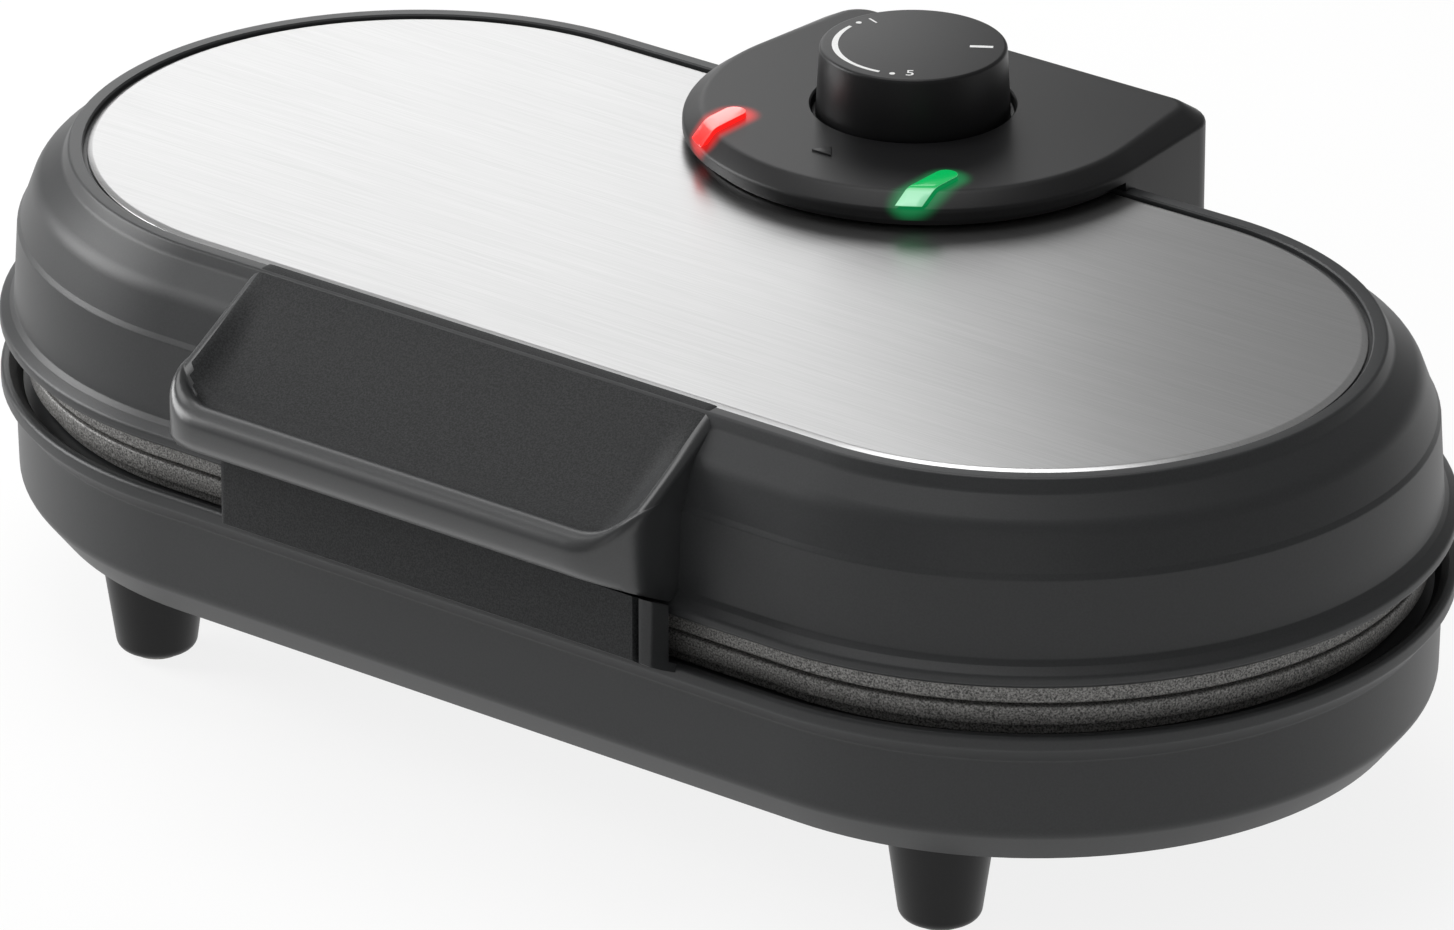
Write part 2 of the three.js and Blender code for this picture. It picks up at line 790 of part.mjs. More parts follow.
// The upright outline of a lamp window, round at its inner end, made smaller by a gap.
function windowBlock(x, gap, low, high) {
  const half = lampHalfWidth - gap;
  const inner = lampInnerY - lampHalfWidth;
  const outer = lampInnerY - lampLength + gap;
  const shape = new THREE.Shape();
  shape.moveTo(x - half, outer);
  shape.lineTo(x + half, outer);
  shape.absarc(x, inner, half, 0, Math.PI, false);
  shape.closePath();
  const options = { depth: high - low, bevelEnabled: false, curveSegments: cornerSteps * 2 };
  const geometry = new THREE.ExtrudeGeometry(shape, options);
  geometry.translate(0, 0, low);
  return solidOf(geometry);
}

const bracketScrewPlaces = [[knobX - bracketScrewX, knobY], [knobX + bracketScrewX, knobY]];

function consoleHood() {
  const outer = hoodForm(0, consoleBottom);
  const hollow = hoodForm(consoleWall, consoleBottom - overrun);
  const roof = consoleTop - consoleWall;
  const collar = at(disc(wellRadius + consoleWall, wellUnder, roof + consoleWall / 2), knobX, knobY);
  const well = at(disc(wellRadius, wellBottom, consoleTop + overrun), knobX, knobY);
  const bushHole = columns([[knobX, knobY]], bushRadius + clearance, wellUnder - overrun, consoleTop);
  const bosses = columns(bracketScrewPlaces, bossRadius, wellUnder, roof + consoleWall / 2);
  const biteEnd = wellUnder + bracketBite;
  const pilots = columns(bracketScrewPlaces, pilotRadius, wellUnder - overrun, biteEnd, screwSteps);
  const slots = windowPlaces.map((x) => windowBlock(x, 0, windowFoot, consoleTop + overrun));
  const shell = cut(cut(outer, hollow), lidEnvelope(), armRoom(-1), armRoom(1));
  return cut(join(shell, collar, ...bosses), well, ...bushHole, ...pilots, ...slots);
}

function lens(x) {
  const skin = cut(hoodForm(lensSink, rimTop), hoodForm(lensSink + lensThickness, rimTop - overrun));
  return skin.intersect(windowBlock(x, clearance, windowFoot, consoleTop + overrun));
}

function bulb(x) {
  const z = consoleTop - lensSink - lensThickness - clearance - bulbRadius;
  const inner = lampInnerY - lampHalfWidth;
  return rodY(bulbRadius, inner - bulbLength, inner, x, z, screwSteps);
}

// Thermostat, with its bush through the well's floor

function thermostatBody() {
  const low = thermostatTop - thermostatHeight;
  const body = join(
    box(thermostatWidth, thermostatDepth, low, thermostatTop),
    disc(bushRadius, thermostatTop - clearance, nutTop, smallSteps),
  );
  const bore = disc(shaftRadius + clearance, thermostatTop - shaftSink, nutTop + overrun, smallSteps);
  return at(cut(body, bore), knobX, knobY);
}

function thermostatBracket() {
  const sheet = at(box(bracketWidth, bracketDepth, bracketUnder, bracketTop), knobX, knobY);
  const low = bracketUnder - overrun;
  const bush = at(disc(bushRadius + clearance, low, bracketTop + overrun, smallSteps), knobX, knobY);
  const high = bracketTop + overrun;
  return cut(sheet, bush, ...columns(bracketScrewPlaces, pilotRadius, low, high, screwSteps));
}

function thermostatNut() {
  const hexagon = disc(nutRadius, nutBottom, nutTop, nutSides);
  const bore = disc(bushRadius + clearance, nutBottom - overrun, nutTop + overrun, smallSteps);
  return at(cut(hexagon, bore), knobX, knobY);
}

function thermostatShaft() {
  const low = thermostatTop - shaftSink + clearance;
  const rod = disc(shaftRadius, low, shaftTop, smallSteps);
  const side = box(shaftRadius, shaftRadius * 2, nutTop + clearance, shaftTop + overrun);
  return cut(rod, at(side, shaftRadius * 1.5 - shaftFlat, 0));
}

function knob() {
  const stemFoot = nutTop + knobStemGap;
  const boreTop = shaftTop + clearance;
  const boreRadius = shaftRadius + clearance;
  const shoulder = knobTop - knobEdge;
  const body = turned([
    [0, boreTop], [boreRadius, boreTop], [boreRadius, stemFoot], [knobStemRadius, stemFoot],
    [knobStemRadius, knobTop - knobWall], [knobTopRadius - knobWall, knobTop - knobWall],
    [knobFootRadius - knobWall, knobBottom], [knobFootRadius, knobBottom],
    [knobTopRadius, shoulder], [knobTopRadius - knobEdge * 0.3, knobTop - knobEdge * 0.3],
    [knobTopRadius - knobEdge, knobTop], [0, knobTop],
  ]);
  const key = box(shaftFlat, boreRadius * 2, stemFoot, boreTop + clearance);
  return join(body, at(key, shaftRadius - shaftFlat / 2 + clearance, 0));
}

// Handle

const handleScrewPlaces = [handleCenterX - handleScrewX, handleCenterX + handleScrewX];
const handleHalfShares = [0, 0.4, 0.65, 0.79, 0.87, 0.925, 0.96, 0.985, 1];
const handleLeftShares = handleHalfShares.slice(1).map((share) => -share).reverse();
const handleRowShares = [...handleLeftShares, ...handleHalfShares];
const bowlShares = [
  [0, 0], [0.15, 0.05], [0.26, 0.28], [0.4, 0.7], [0.58, 1], [0.77, 0.92], [0.9, 0.6], [1, 0.36],
];
const lipShares = [[0.3, 0.1], [0.8, 0.45], [1, 1]];

// How far a rounded edge of a radius has fallen at a distance from where the rounding starts.
function fall(radius, distance) {
  const along = Math.min(Math.max(distance, 0), radius);
  return radius - Math.sqrt(radius * radius - along * along);
}

// One cross-section of the handle, as a loop of points at one place along X.
function handleRow(share) {
  const side = Math.abs(share) * handleHalfWidth;
  const reach = handleReach - fall(handleCorner, side - handleHalfWidth + handleCorner);
  const drop = fall(handleSideRound, side - handleHalfWidth + handleSideRound);
  const level = Math.min((handleHalfWidth - side) / handleBowlFade, 1);
  const bowl = handleBowl * level * level * (3 - 2 * level);
  const lipStart = reach - handleLipRound;
  const top = bowlShares.map(([along, deep]) => {
    const y = handleRidgeStart + (lipStart - handleRidgeStart) * along;
    return [y, handleRidgeTop - (y - handleRidgeStart) * handleRidgeSlope - drop - bowl * deep];
  });
  const crest = top[top.length - 1][1];
  const lip = lipShares.map(([along, down]) => [
    lipStart + handleLipRound * along,
    crest - handleLipRound * down,
  ]);
  const under = handleUnder(reach);
  const outline = [
    [handleRoot, handleRidgeTop - drop], ...top, ...lip,
    [reach, under + handleLipRound / 2], [reach - handleLipRound / 2, under - handleLipRound / 4],
    [handleHeel, handleHeelHeight], [handleRoot, handleHeelHeight],
  ];
  const x = handleCenterX + share * handleHalfWidth;
  return outline.map(([y, z]) => new THREE.Vector3(x, -y, z));
}

const handleScrewTip = -lidWallRadius - (handleReach - lidWallRadius) * handleScrewShare;

function handle() {
  const pilots = handleScrewPlaces.map((x) => rodY(pilotRadius, handleScrewTip - clearance,
    -lidWallRadius + lidWall, x, handleScrewZ, screwSteps));
  return cut(loft(handleRowShares.map(handleRow)), lidEnvelope(), ...pilots);
}

function handleScrew() {
  const neck = -lidWallRadius + lidWall + handleScrewSeat;
  const head = rodY(screwHeadRadius, neck, neck + screwHeadHeight, 0, handleScrewZ, screwSteps);
  return join(head, rodY(screwRadius, handleScrewTip, neck + clearance, 0, handleScrewZ, screwSteps));
}

// Assembly

const pancakeMaker = new THREE.Group();
const base = new THREE.Group();
const lid = new THREE.Group();
const dial = new THREE.Group();
dial.position.set(knobX, knobY, 0);
pancakeMaker.add(base, lid);
lid.add(dial);

function place(group, name, solid, finish, x = 0, y = 0) {
  const mesh = new THREE.Mesh(geometryOf(solid), new THREE.MeshStandardMaterial(finish));
  mesh.name = name;
  mesh.position.set(x, y, 0);
  group.add(mesh);
}

place(base, "base_shell", baseShell(), blackPlastic);
place(base, "front_guard", frontGuard(), grainedPlastic);
place(base, "bottom_cover", bottomCover(), blackPlastic);
place(base, "lower_plate", plate(lowerPlateTop, lowerPlateBottom), speckledCoating);
place(base, "lower_heater", heater(lowerPlateBottom - clearance - heaterRadius), plainSteel);
place(base, "lower_reflector", tray(lowerTrayFloor, lowerTrayFloor + reflectorWall), tinnedSheet);
place(base, "hinge_pin", rodX(pinRadius, -earInner - earWidth - pinOverhang,
  earInner + earWidth + pinOverhang, hingeY, hingeZ), plainSteel);
place(base, "lead_gland", leadGland(), blackPlastic);
place(base, "terminal_block", terminalBlock(), paleCeramic);

[-1, 1].forEach((side, i) => {
  place(base, `hinge_ear_${i + 1}`, hingeEar(side), blackPlastic);
  place(lid, `hinge_arm_${i + 1}`, hingeArm(side), blackPlastic);
});

fourPlaces(footAcross, footAlong).forEach(([x, y], i) => {
  place(base, `foot_${i + 1}`, foot(), blackPlastic, x, y);
  place(base, `foot_pad_${i + 1}`, footPad(), paleRubber, x, y);
});

const baseScrewTip = lowerBossEnd + screwBite;
const lidScrewTip = upperBossEnd - screwBite;
bossPlaces.forEach(([x, y], i) => {
  place(base, `base_screw_${i + 1}`, screw(baseBottom + clearance, baseScrewTip), plainSteel, x, y);
  place(lid, `lid_screw_${i + 1}`, screw(deckTop - clearance, lidScrewTip), plainSteel, x, y);
});

place(lid, "lid_shell", lidShell(), blackPlastic);
place(lid, "lid_inlay", lidInlay(), brushedSteel);
place(lid, "upper_plate", plate(upperPlateBottom, upperPlateTop), speckledCoating);
place(lid, "upper_heater", heater(upperPlateTop + clearance + heaterRadius), plainSteel);
place(lid, "upper_reflector", tray(upperTrayRoof, upperTrayRoof - reflectorWall), tinnedSheet);
place(lid, "thermal_fuse", rodX(fuseRadius, -fuseLength / 2, fuseLength / 2, fuseY,
  upperPlateTop + clearance + fuseRadius, screwSteps), paleCeramic, halfSpan - fuseReach);
place(lid, "console_hood", consoleHood(), blackPlastic);
place(lid, "handle", handle(), grainedPlastic);
handleScrewPlaces.forEach((x, i) => {
  place(lid, `handle_screw_${i + 1}`, handleScrew(), plainSteel, x);
});

const [redX, greenX] = windowPlaces;
place(lid, "red_lens", lens(redX), redLens);
place(lid, "green_lens", lens(greenX), greenLens);
place(lid, "red_bulb", bulb(redX), clearGlass);
place(lid, "green_bulb", bulb(greenX), clearGlass);

place(lid, "thermostat_body", thermostatBody(), paleCeramic);
place(lid, "thermostat_bracket", thermostatBracket(), tinnedSheet);
place(lid, "thermostat_nut", thermostatNut(), plainSteel);
bracketScrewPlaces.forEach(([x, y], i) => {
  const head = bracketUnder - clearance - screwHeadHeight;
  const tip = wellUnder + bracketBite - clearance;
  place(lid, `bracket_screw_${i + 1}`, screw(head, tip), plainSteel, x, y);
});

place(dial, "thermostat_shaft", thermostatShaft(), plainSteel);
place(dial, "knob", knob(), blackPlastic);

export default pancakeMaker;
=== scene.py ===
"""The looks of a twin pancake maker with a hinged lid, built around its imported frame.

Metres, +Z up, +X along the two cooking plates, the handle at -Y and the hinge at +Y.
"""

import json
import math

import bpy
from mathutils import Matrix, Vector


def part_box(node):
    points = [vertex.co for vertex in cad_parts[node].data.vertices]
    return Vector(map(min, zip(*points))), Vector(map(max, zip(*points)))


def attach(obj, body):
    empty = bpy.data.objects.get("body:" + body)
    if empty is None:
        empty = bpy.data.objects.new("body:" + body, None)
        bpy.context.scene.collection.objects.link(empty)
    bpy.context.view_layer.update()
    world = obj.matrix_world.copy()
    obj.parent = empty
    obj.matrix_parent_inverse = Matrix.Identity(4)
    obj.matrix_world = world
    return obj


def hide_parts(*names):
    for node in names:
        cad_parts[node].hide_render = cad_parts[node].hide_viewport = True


bl_info = {
    "name": "Pancake Maker",
    "version": (1, 0, 0),
    "blender": (4, 5, 0),
    "location": "3D View > Sidebar > Pancake Maker",
    "description": "Dresses a hinged twin pancake maker and lights its studio",
    "category": "Object",
}

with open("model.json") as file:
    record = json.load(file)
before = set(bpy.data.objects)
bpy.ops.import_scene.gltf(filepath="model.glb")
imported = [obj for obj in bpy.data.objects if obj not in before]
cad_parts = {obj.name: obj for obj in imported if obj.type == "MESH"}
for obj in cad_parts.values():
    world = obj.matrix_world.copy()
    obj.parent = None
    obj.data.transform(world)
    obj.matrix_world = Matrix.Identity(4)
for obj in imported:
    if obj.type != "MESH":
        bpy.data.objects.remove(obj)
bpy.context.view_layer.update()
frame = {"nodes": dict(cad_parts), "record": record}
MM = 0.001

# Lowest and highest corners of the CAD nodes
PLATE_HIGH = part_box("lower_plate")[1]
UPPER_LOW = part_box("upper_plate")[0]
BASE_LOW, BASE_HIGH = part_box("base_shell")
GUARD_LOW, GUARD_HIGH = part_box("front_guard")
LID_LOW, LID_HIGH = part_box("lid_shell")
INLAY_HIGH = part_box("lid_inlay")[1]
HOOD_LOW, HOOD_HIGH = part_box("console_hood")
HANDLE_LOW, HANDLE_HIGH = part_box("handle")
KNOB_LOW, KNOB_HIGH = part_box("knob")
PIN_LOW, PIN_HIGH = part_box("hinge_pin")

# The plan outline is two half circles, this far to each side of the middle, and the lines between them
HALF_SPAN = PLATE_HIGH.x - PLATE_HIGH.y
BASE_RADIUS = BASE_HIGH.x - HALF_SPAN
LID_RADIUS = LID_HIGH.x - HALF_SPAN
KNOB_CENTER = (KNOB_LOW + KNOB_HIGH) / 2
HINGE_Y = (PIN_LOW.y + PIN_HIGH.y) / 2
HINGE_Z = (PIN_LOW.z + PIN_HIGH.z) / 2

# Steps on half turns, full turns and small roundings
TURN_STEPS = 64
FULL_STEPS = 128
ARC_STEPS = 5

# How close points are merged, the size a new piece starts at, and the fewest faces of a solid
WELD = 0.002 * MM
STARTER = 0.1 * MM
FEWEST_FACES = 4


def linear(hex_colour):
    """Turns an sRGB hex colour into the linear values that the shaders take."""
    shares = [int(hex_colour[i : i + 2], 16) / 255 for i in (1, 3, 5)]
    return [s / 12.92 if s <= 0.04045 else ((s + 0.055) / 1.055) ** 2.4 for s in shares] + [1.0]


# Sizes and colours that a user would change


def length(name, default, description):
    """A length in the sidebar."""
    return bpy.props.FloatProperty(
        name=name, description=description, default=default, precision=5, unit="LENGTH", subtype="DISTANCE"
    )


def colour(name, default, description):
    """A colour in the sidebar."""
    return bpy.props.FloatVectorProperty(
        name=name, description=description, default=linear(default), size=4, min=0, max=1, subtype="COLOR"
    )


class BaseSizes(bpy.types.PropertyGroup):
    """Sizes of the base casing."""

    lip_radius: length("Lip radius", BASE_RADIUS, "Radius of the lip round the base")
    wall_radius: length("Wall radius", BASE_RADIUS - 3.8 * MM, "Radius of the base's wall")
    foot_radius: length("Foot radius", BASE_RADIUS - 11.5 * MM, "Radius where the bottom bevel ends")
    bevel_top: length("Bevel height", BASE_LOW.z + 9.4 * MM, "Height where the bottom bevel meets the wall")
    lip_foot: length("Lip foot", BASE_LOW.z + 30 * MM, "Height where the wall flares into the lip")
    lip_top: length("Lip height", PLATE_HIGH.z - 4.8 * MM, "Height of the lip's top")
    wall: length("Wall thickness", 2.6 * MM, "Thickness of the wall")
    seat_radius: length("Seat radius", PLATE_HIGH.y + 1.2 * MM, "Radius of the seat that the plate lies in")
    ledge_width: length("Ledge width", 6.5 * MM, "Width of the ledge under the plate")
    ledge_drop: length("Ledge drop", 4.2 * MM, "How far the ledge lies below the lip's top")


class GuardSizes(bpy.types.PropertyGroup):
    """Sizes of the guard that stands under the handle."""

    thickness: length("Thickness", 8.5 * MM, "Thickness of the guard")
    foot: length("Foot height", BASE_LOW.z + 41.5 * MM, "Height of the guard's lower edge")
    corner: length("Corner", 2.2 * MM, "Radius of its left front corner")
    end: length("Right end", GUARD_HIGH.x + 4 * MM, "Place of its right end")
    end_corner: length("End corner", 2.6 * MM, "Radius and width of the smooth column at its right end")
    groove: length("Groove", 2 * MM, "Width and depth of the groove beside the column")
    gap: length("Gap", 0.8 * MM, "Gap between the guard and the handle")


class HingeSizes(bpy.types.PropertyGroup):
    """Sizes of the hinge's ears and arms."""

    boss_radius: length("Boss radius", 8 * MM, "Radius of the bosses round the pin")
    ear_width: length("Ear width", 12 * MM, "Width of an ear on the base")
    arm_width: length("Arm width", 13 * MM, "Width of an arm on the lid")
    pin_overhang: length("Pin overhang", 1.5 * MM, "How far the pin stands out of each ear")


class PlateSizes(bpy.types.PropertyGroup):
    """Sizes of a cooking plate."""

    thickness: length("Thickness", 8.7 * MM, "Thickness of a plate")
    flange: length("Flange", 5.2 * MM, "Thickness of the flange that shows round a plate")
    overhang: length("Overhang", 2.6 * MM, "How far the flange stands out over the plate's back")
    edge: length("Edge", 0.7 * MM, "Width of the rounded edge")
    recess_radius: length("Recess radius", 93 * MM, "Radius of a pancake recess at its mouth")
    recess_depth: length("Recess depth", 6 * MM, "Depth of a pancake recess")


class LidSizes(bpy.types.PropertyGroup):
    """Sizes of the lid casing."""

    bead_radius: length("Bead radius", LID_RADIUS, "Radius of the bead round the lid's mouth")
    wall_radius: length("Wall radius", LID_RADIUS - 3.9 * MM, "Radius of the wall above the bead")
    crease_radius: length("Crease radius", LID_RADIUS - 5.2 * MM, "Radius of the soft crease")
    crease_step: length("Crease step", 0.9 * MM, "How far the wall steps in above the crease")
    shoulder_radius: length("Shoulder radius", 97 * MM, "Radius where the wall turns into the shoulder")
    rim_radius: length("Rim radius", 88 * MM, "Outer radius of the raised rim")
    rim_inner: length("Rim inner radius", 84.2 * MM, "Inner radius of the raised rim")
    bead_height: length("Bead height", 6.3 * MM, "Height of the bead")
    crease_height: length("Crease height", 27 * MM, "Height of the soft crease above the lid's lower edge")
    wall: length("Wall thickness", 2.7 * MM, "Thickness of the wall")
    rim_depth: length("Rim depth", 1.6 * MM, "How far the rim stands above the deck")


class ConsoleSizes(bpy.types.PropertyGroup):
    """Sizes of the console hood, its lamps and its pointer."""

    radius: length("Front radius", 63.1 * MM, "Radius of the round front")
    center_x: length("Centre X", 4 * MM, "Place of the front's centre along the plates")
    back_depth: length("Back depth", 45.8 * MM, "Distance from the front's centre to the back")
    corner: length("Corner", 11 * MM, "Radius of the back corners")
    bevel: length("Bevel", 4.9 * MM, "Width of the slanted band round the top")
    bevel_drop: length("Bevel drop", 3.5 * MM, "Height of the slanted band")
    overhang: length("Overhang", 3 * MM, "How far the slab overhangs its foot above the sheet")
    overhang_gap: length("Overhang gap", 2.9 * MM, "Gap between the slab's front and the sheet")
    wall: length("Wall thickness", 2.4 * MM, "Thickness of the hood")
    well_radius: length("Well radius", 26.4 * MM, "Radius of the well round the knob")
    well_depth: length("Well depth", 3 * MM, "Depth of the well round the knob")
    lamp_offset: length("Lamp offset", 33.8 * MM, "Distance of each lamp from the console's middle")
    lamp_forward: length("Lamp place", 34.3 * MM, "How far the lamps' inner ends lie before the centre")
    lamp_length: length("Lamp length", 21.6 * MM, "Length of a lamp window")
    lamp_half_width: length("Lamp half width", 3.1 * MM, "Half the width of a lamp window")
    lamp_rise: length("Lamp rise", 1.25 * MM, "How far a lens stands out of the hood")
    pointer_width: length("Pointer width", 6.2 * MM, "Width of the pointer's base")
    pointer_length: length("Pointer length", 4.4 * MM, "Length of the pointer")


class KnobSizes(bpy.types.PropertyGroup):
    """Sizes of the heat knob."""

    flare: length("Flare", 1 * MM, "How much wider the knob is at its foot than at its top")
    rise: length("Rise", 1.2 * MM, "How far the knob's top stands above its solid")
    edge: length("Edge", 1 * MM, "Radius of the rounding round the top")
    wall: length("Wall thickness", 2.1 * MM, "Thickness of the knob's wall")
    arc_radius: length("Arc radius", 20.2 * MM, "Radius of the printed heat arc")
    print_height: length("Print height", 0.05 * MM, "Thickness of the printed marks")


class HandleSizes(bpy.types.PropertyGroup):
    """Sizes of the handle."""

    left: length("Left end", HANDLE_LOW.x - 3 * MM, "Place of the handle's left end")
    right: length("Right end", HANDLE_HIGH.x, "Place of the handle's right end")
    ridge_start: length("Ridge start", 87 * MM, "Distance of the bowl's upper end from the axis")
    ridge_top: length("Ridge top", 126 * MM, "Height of the side ridges at their upper end")
    ridge_front: length("Ridge front", 103.2 * MM, "Height of the side ridges at the front")
    lip_foot: length("Lip foot", 94.3 * MM, "Height of the lip's lower edge")
    lip_round: length("Lip rounding", 5 * MM, "Radius of the rounded lip")
    heel: length("Heel", 107 * MM, "Distance of the underside's back end from the axis")
    corner: length("Corner", 15 * MM, "Radius of the front corners in plan")
    side_round: length("Side rounding", 3.6 * MM, "Radius of the rounded side ridges")
    bowl: length("Bowl depth", 5 * MM, "Depth of the finger bowl")
    bowl_fade: length("Bowl fade", 10 * MM, "Width over which the bowl rises to the sides")
    ridge: length("Ridge", 2.4 * MM, "Width of the smooth ridge on each side")


class FinishColours(bpy.types.PropertyGroup):
    """Colours of the finishes."""

    plastic: colour("Satin plastic", "#2a2b2c", "Moulded black plastic of the casings")
    dark_plastic: colour("Dark plastic", "#121213", "Black plastic of the console, the knob and the feet")
    grained: colour("Grained plastic", "#232425", "Spark-eroded black plastic of the grip and the guard")
    steel: colour("Steel", "#b0b0b0", "Brushed stainless sheet on the lid")
    coating: colour("Coating", "#7a7977", "Flecked coating of the cooking plates")
    # The two lamp colours also tint the glow painted on the console round each lamp
    red: colour("Red lamp", "#e3221f", "Sides of the red lamp lens")
    red_top: colour("Red lamp top", "#ff8a84", "Top of the red lamp lens, where its light comes out")
    green: colour("Green lamp", "#067a42", "Sides of the green lamp lens")
    green_slope: colour("Green lamp front", "#a6e0bd", "Slanted front of the green lamp lens")
    green_top: colour("Green lamp top", "#00aa50", "Top of the green lamp lens, where its light comes out")
    floor: colour("Floor", "#f4f4f3", "Pale floor of the studio")


# Shader nodes


def add(tree, kind, inputs=None, **settings):
    """Adds a node, sets its properties, and fills or links its inputs."""
    made = tree.nodes.new(kind)
    for key, value in settings.items():
        setattr(made, key, value)
    for socket, value in (inputs or {}).items():
        if isinstance(value, bpy.types.NodeSocket):
            tree.links.new(value, made.inputs[socket])
        else:
            made.inputs[socket].default_value = value
    return made


def finish(name, **shader):
    """Starts a material with its Principled shader, and returns both."""
    made = bpy.data.materials.new(name)
    made.use_nodes = True
    tree = made.node_tree
    tree.nodes.clear()
    inputs = {key.replace("_", " "): value for key, value in shader.items()}
    surface = add(tree, "ShaderNodeBsdfPrincipled", inputs)
    add(tree, "ShaderNodeOutputMaterial", {"Surface": surface.outputs[0]})
    return made, tree, surface


def grain(tree, size, detail=2.0, stretch=(1, 1, 1)):
    """A noise of a real grain size on Object coordinates, longer along an axis where stretched."""
    place = add(tree, "ShaderNodeTexCoord")
    scale = [1 / (size * axis) for axis in stretch]
    spread = add(tree, "ShaderNodeMapping", {"Vector": place.outputs["Object"], "Scale": scale})
    noise = add(tree, "ShaderNodeTexNoise", {"Vector": spread.outputs[0], "Scale": 1.0, "Detail": detail})
    return noise.outputs[0]


def relief(tree, surface, height, depth, strength=1.0):
    """Raises a surface by a real depth where a pattern is bright."""
    bump = add(tree, "ShaderNodeBump", {"Height": height, "Distance": depth, "Strength": strength})
    tree.links.new(bump.outputs[0], surface.inputs["Normal"])


def vary(tree, surface, pattern, base, spread, low=0.35, high=0.65):
    """Colours a surface by a pattern, darker and lighter than its colour by a share."""
    ramp = add(tree, "ShaderNodeValToRGB", {"Fac": pattern})
    for stop, place, share in zip(ramp.color_ramp.elements, (low, high), (1 - spread, 1 + spread)):
        stop.position = place
        stop.color = [min(channel * share, 1) for channel in base[:3]] + [1]
    tree.links.new(ramp.outputs[0], surface.inputs["Base Color"])


# Finishes

ABS_IOR = 1.5

# How far forward each lamp's glow is painted on the console as emission, where that painted glow starts to
# fade and ends, and its strength
PAINTED_GLOW_LENGTH = 16 * MM
PAINTED_GLOW_START = 2.6 * MM
PAINTED_GLOW_END = 8 * MM
PAINTED_GLOW_STRENGTH = 0.95


def moulded_plastic(name, base, roughness, gloss):
    """Black ABS from a satin tool: an even low sheen, broken by a very fine texture.

    The real texture is finer than a pixel, so it is drawn at half a millimetre.
    """
    made, tree, surface = finish(name, Roughness=roughness, IOR=ABS_IOR, Specular_IOR_Level=gloss)
    texture = grain(tree, size=0.5 * MM)
    vary(tree, surface, texture, base, spread=0.1)
    relief(tree, surface, texture, depth=0.02 * MM, strength=0.5)
    return made


def console_plastic(colours, sizes):
    """The console's ABS, with each lamp's glow painted on it as emission for a few millimetres."""
    made = moulded_plastic("black_abs_with_painted_lamp_glow", colours.dark_plastic, roughness=0.4, gloss=0.26)
    tree = made.node_tree
    surface = tree.nodes["Principled BSDF"]
    place = add(tree, "ShaderNodeTexCoord")
    parts = add(tree, "ShaderNodeSeparateXYZ", {0: place.outputs["Object"]})
    back = hood_center(sizes).y - sizes.lamp_forward - sizes.lamp_half_width
    front = back - PAINTED_GLOW_LENGTH
    painted_glow = None
    for x, tint in zip(lamp_places(sizes), (colours.red, colours.green)):
        # The nearest point of the lamp's middle line, and the distance to it
        nearest = add(tree, "ShaderNodeClamp", {0: parts.outputs["Y"], 1: front, 2: back})
        axis = add(tree, "ShaderNodeCombineXYZ", {0: x, 1: nearest.outputs[0], 2: HOOD_HIGH.z})
        ends = {0: place.outputs["Object"], 1: axis.outputs[0]}
        away = add(tree, "ShaderNodeVectorMath", ends, operation="DISTANCE")
        # Full painted glow up to the start, none past the end
        fade = {0: away.outputs["Value"], 1: PAINTED_GLOW_START, 2: PAINTED_GLOW_END, 3: 1.0, 4: 0.0}
        share = add(tree, "ShaderNodeMapRange", fade, interpolation_type="SMOOTHERSTEP")
        tinted = {0: tint[:3], "Scale": share.outputs[0]}
        light = add(tree, "ShaderNodeVectorMath", tinted, operation="SCALE")
        if painted_glow:
            light = add(tree, "ShaderNodeVectorMath", {0: painted_glow.outputs[0], 1: light.outputs[0]})
        painted_glow = light
    # The lamps' glow is painted into the plastic as emission
    tree.links.new(painted_glow.outputs[0], surface.inputs["Emission Color"])
    surface.inputs["Emission Strength"].default_value = PAINTED_GLOW_STRENGTH
    return made


def grained_plastic(base):
    """Black ABS from a spark-eroded tool: a matt grain of half a millimetre that scatters the light."""
    made, tree, surface = finish(
        "grained_black_abs", Roughness=0.62, IOR=ABS_IOR, Specular_IOR_Level=0.25
    )
    texture = grain(tree, size=0.45 * MM, detail=3.0)
    vary(tree, surface, texture, base, spread=0.5, low=0.38, high=0.66)
    relief(tree, surface, texture, depth=0.06 * MM, strength=0.8)
    return made


def brushed_steel(base):
    """Stainless sheet brushed along its length: long fine scratches spread each reflection across them.

    Real scratches are finer than a pixel, so they are drawn a third of a millimetre wide.
    """
    made, tree, surface = finish("brushed_stainless_steel", Metallic=1.0, Roughness=0.3)
    scratches = grain(tree, size=0.35 * MM, detail=3.0, stretch=(90, 1, 1))
    vary(tree, surface, scratches, base, spread=0.07, low=0.3, high=0.7)
    relief(tree, surface, scratches, depth=0.004 * MM, strength=0.6)
    return made


def plate_coating(base):
    """Non-stick coating with mineral flecks: a dark ground with bright specks of half a millimetre."""
    made, tree, surface = finish("flecked_non_stick_coating", Roughness=0.5, Metallic=0.25)
    flecks = grain(tree, size=0.5 * MM, detail=4.0)
    vary(tree, surface, flecks, base, spread=0.75, low=0.36, high=0.68)
    relief(tree, surface, flecks, depth=0.06 * MM, strength=0.8)
    return made


def plain_metal(name, base, roughness):
    """Plated or drawn metal: an even sheen with faint stains from handling."""
    made, tree, surface = finish(name, Metallic=1.0, Roughness=roughness)
    vary(tree, surface, grain(tree, size=6 * MM, detail=3.0), linear(base), spread=0.12)
    return made


def plain_body(name, base, roughness, size):
    """Rubber or steatite: matt, with a fine even grain."""
    made, tree, surface = finish(name, Roughness=roughness)
    texture = grain(tree, size)
    vary(tree, surface, texture, linear(base), spread=0.08)
    relief(tree, surface, texture, depth=0.03 * MM, strength=0.4)
    return made


# How steeply upwards a lens's sides, slanted front and top face: the height of their normals
LENS_FACES = (0.6, 0.8, 0.96)


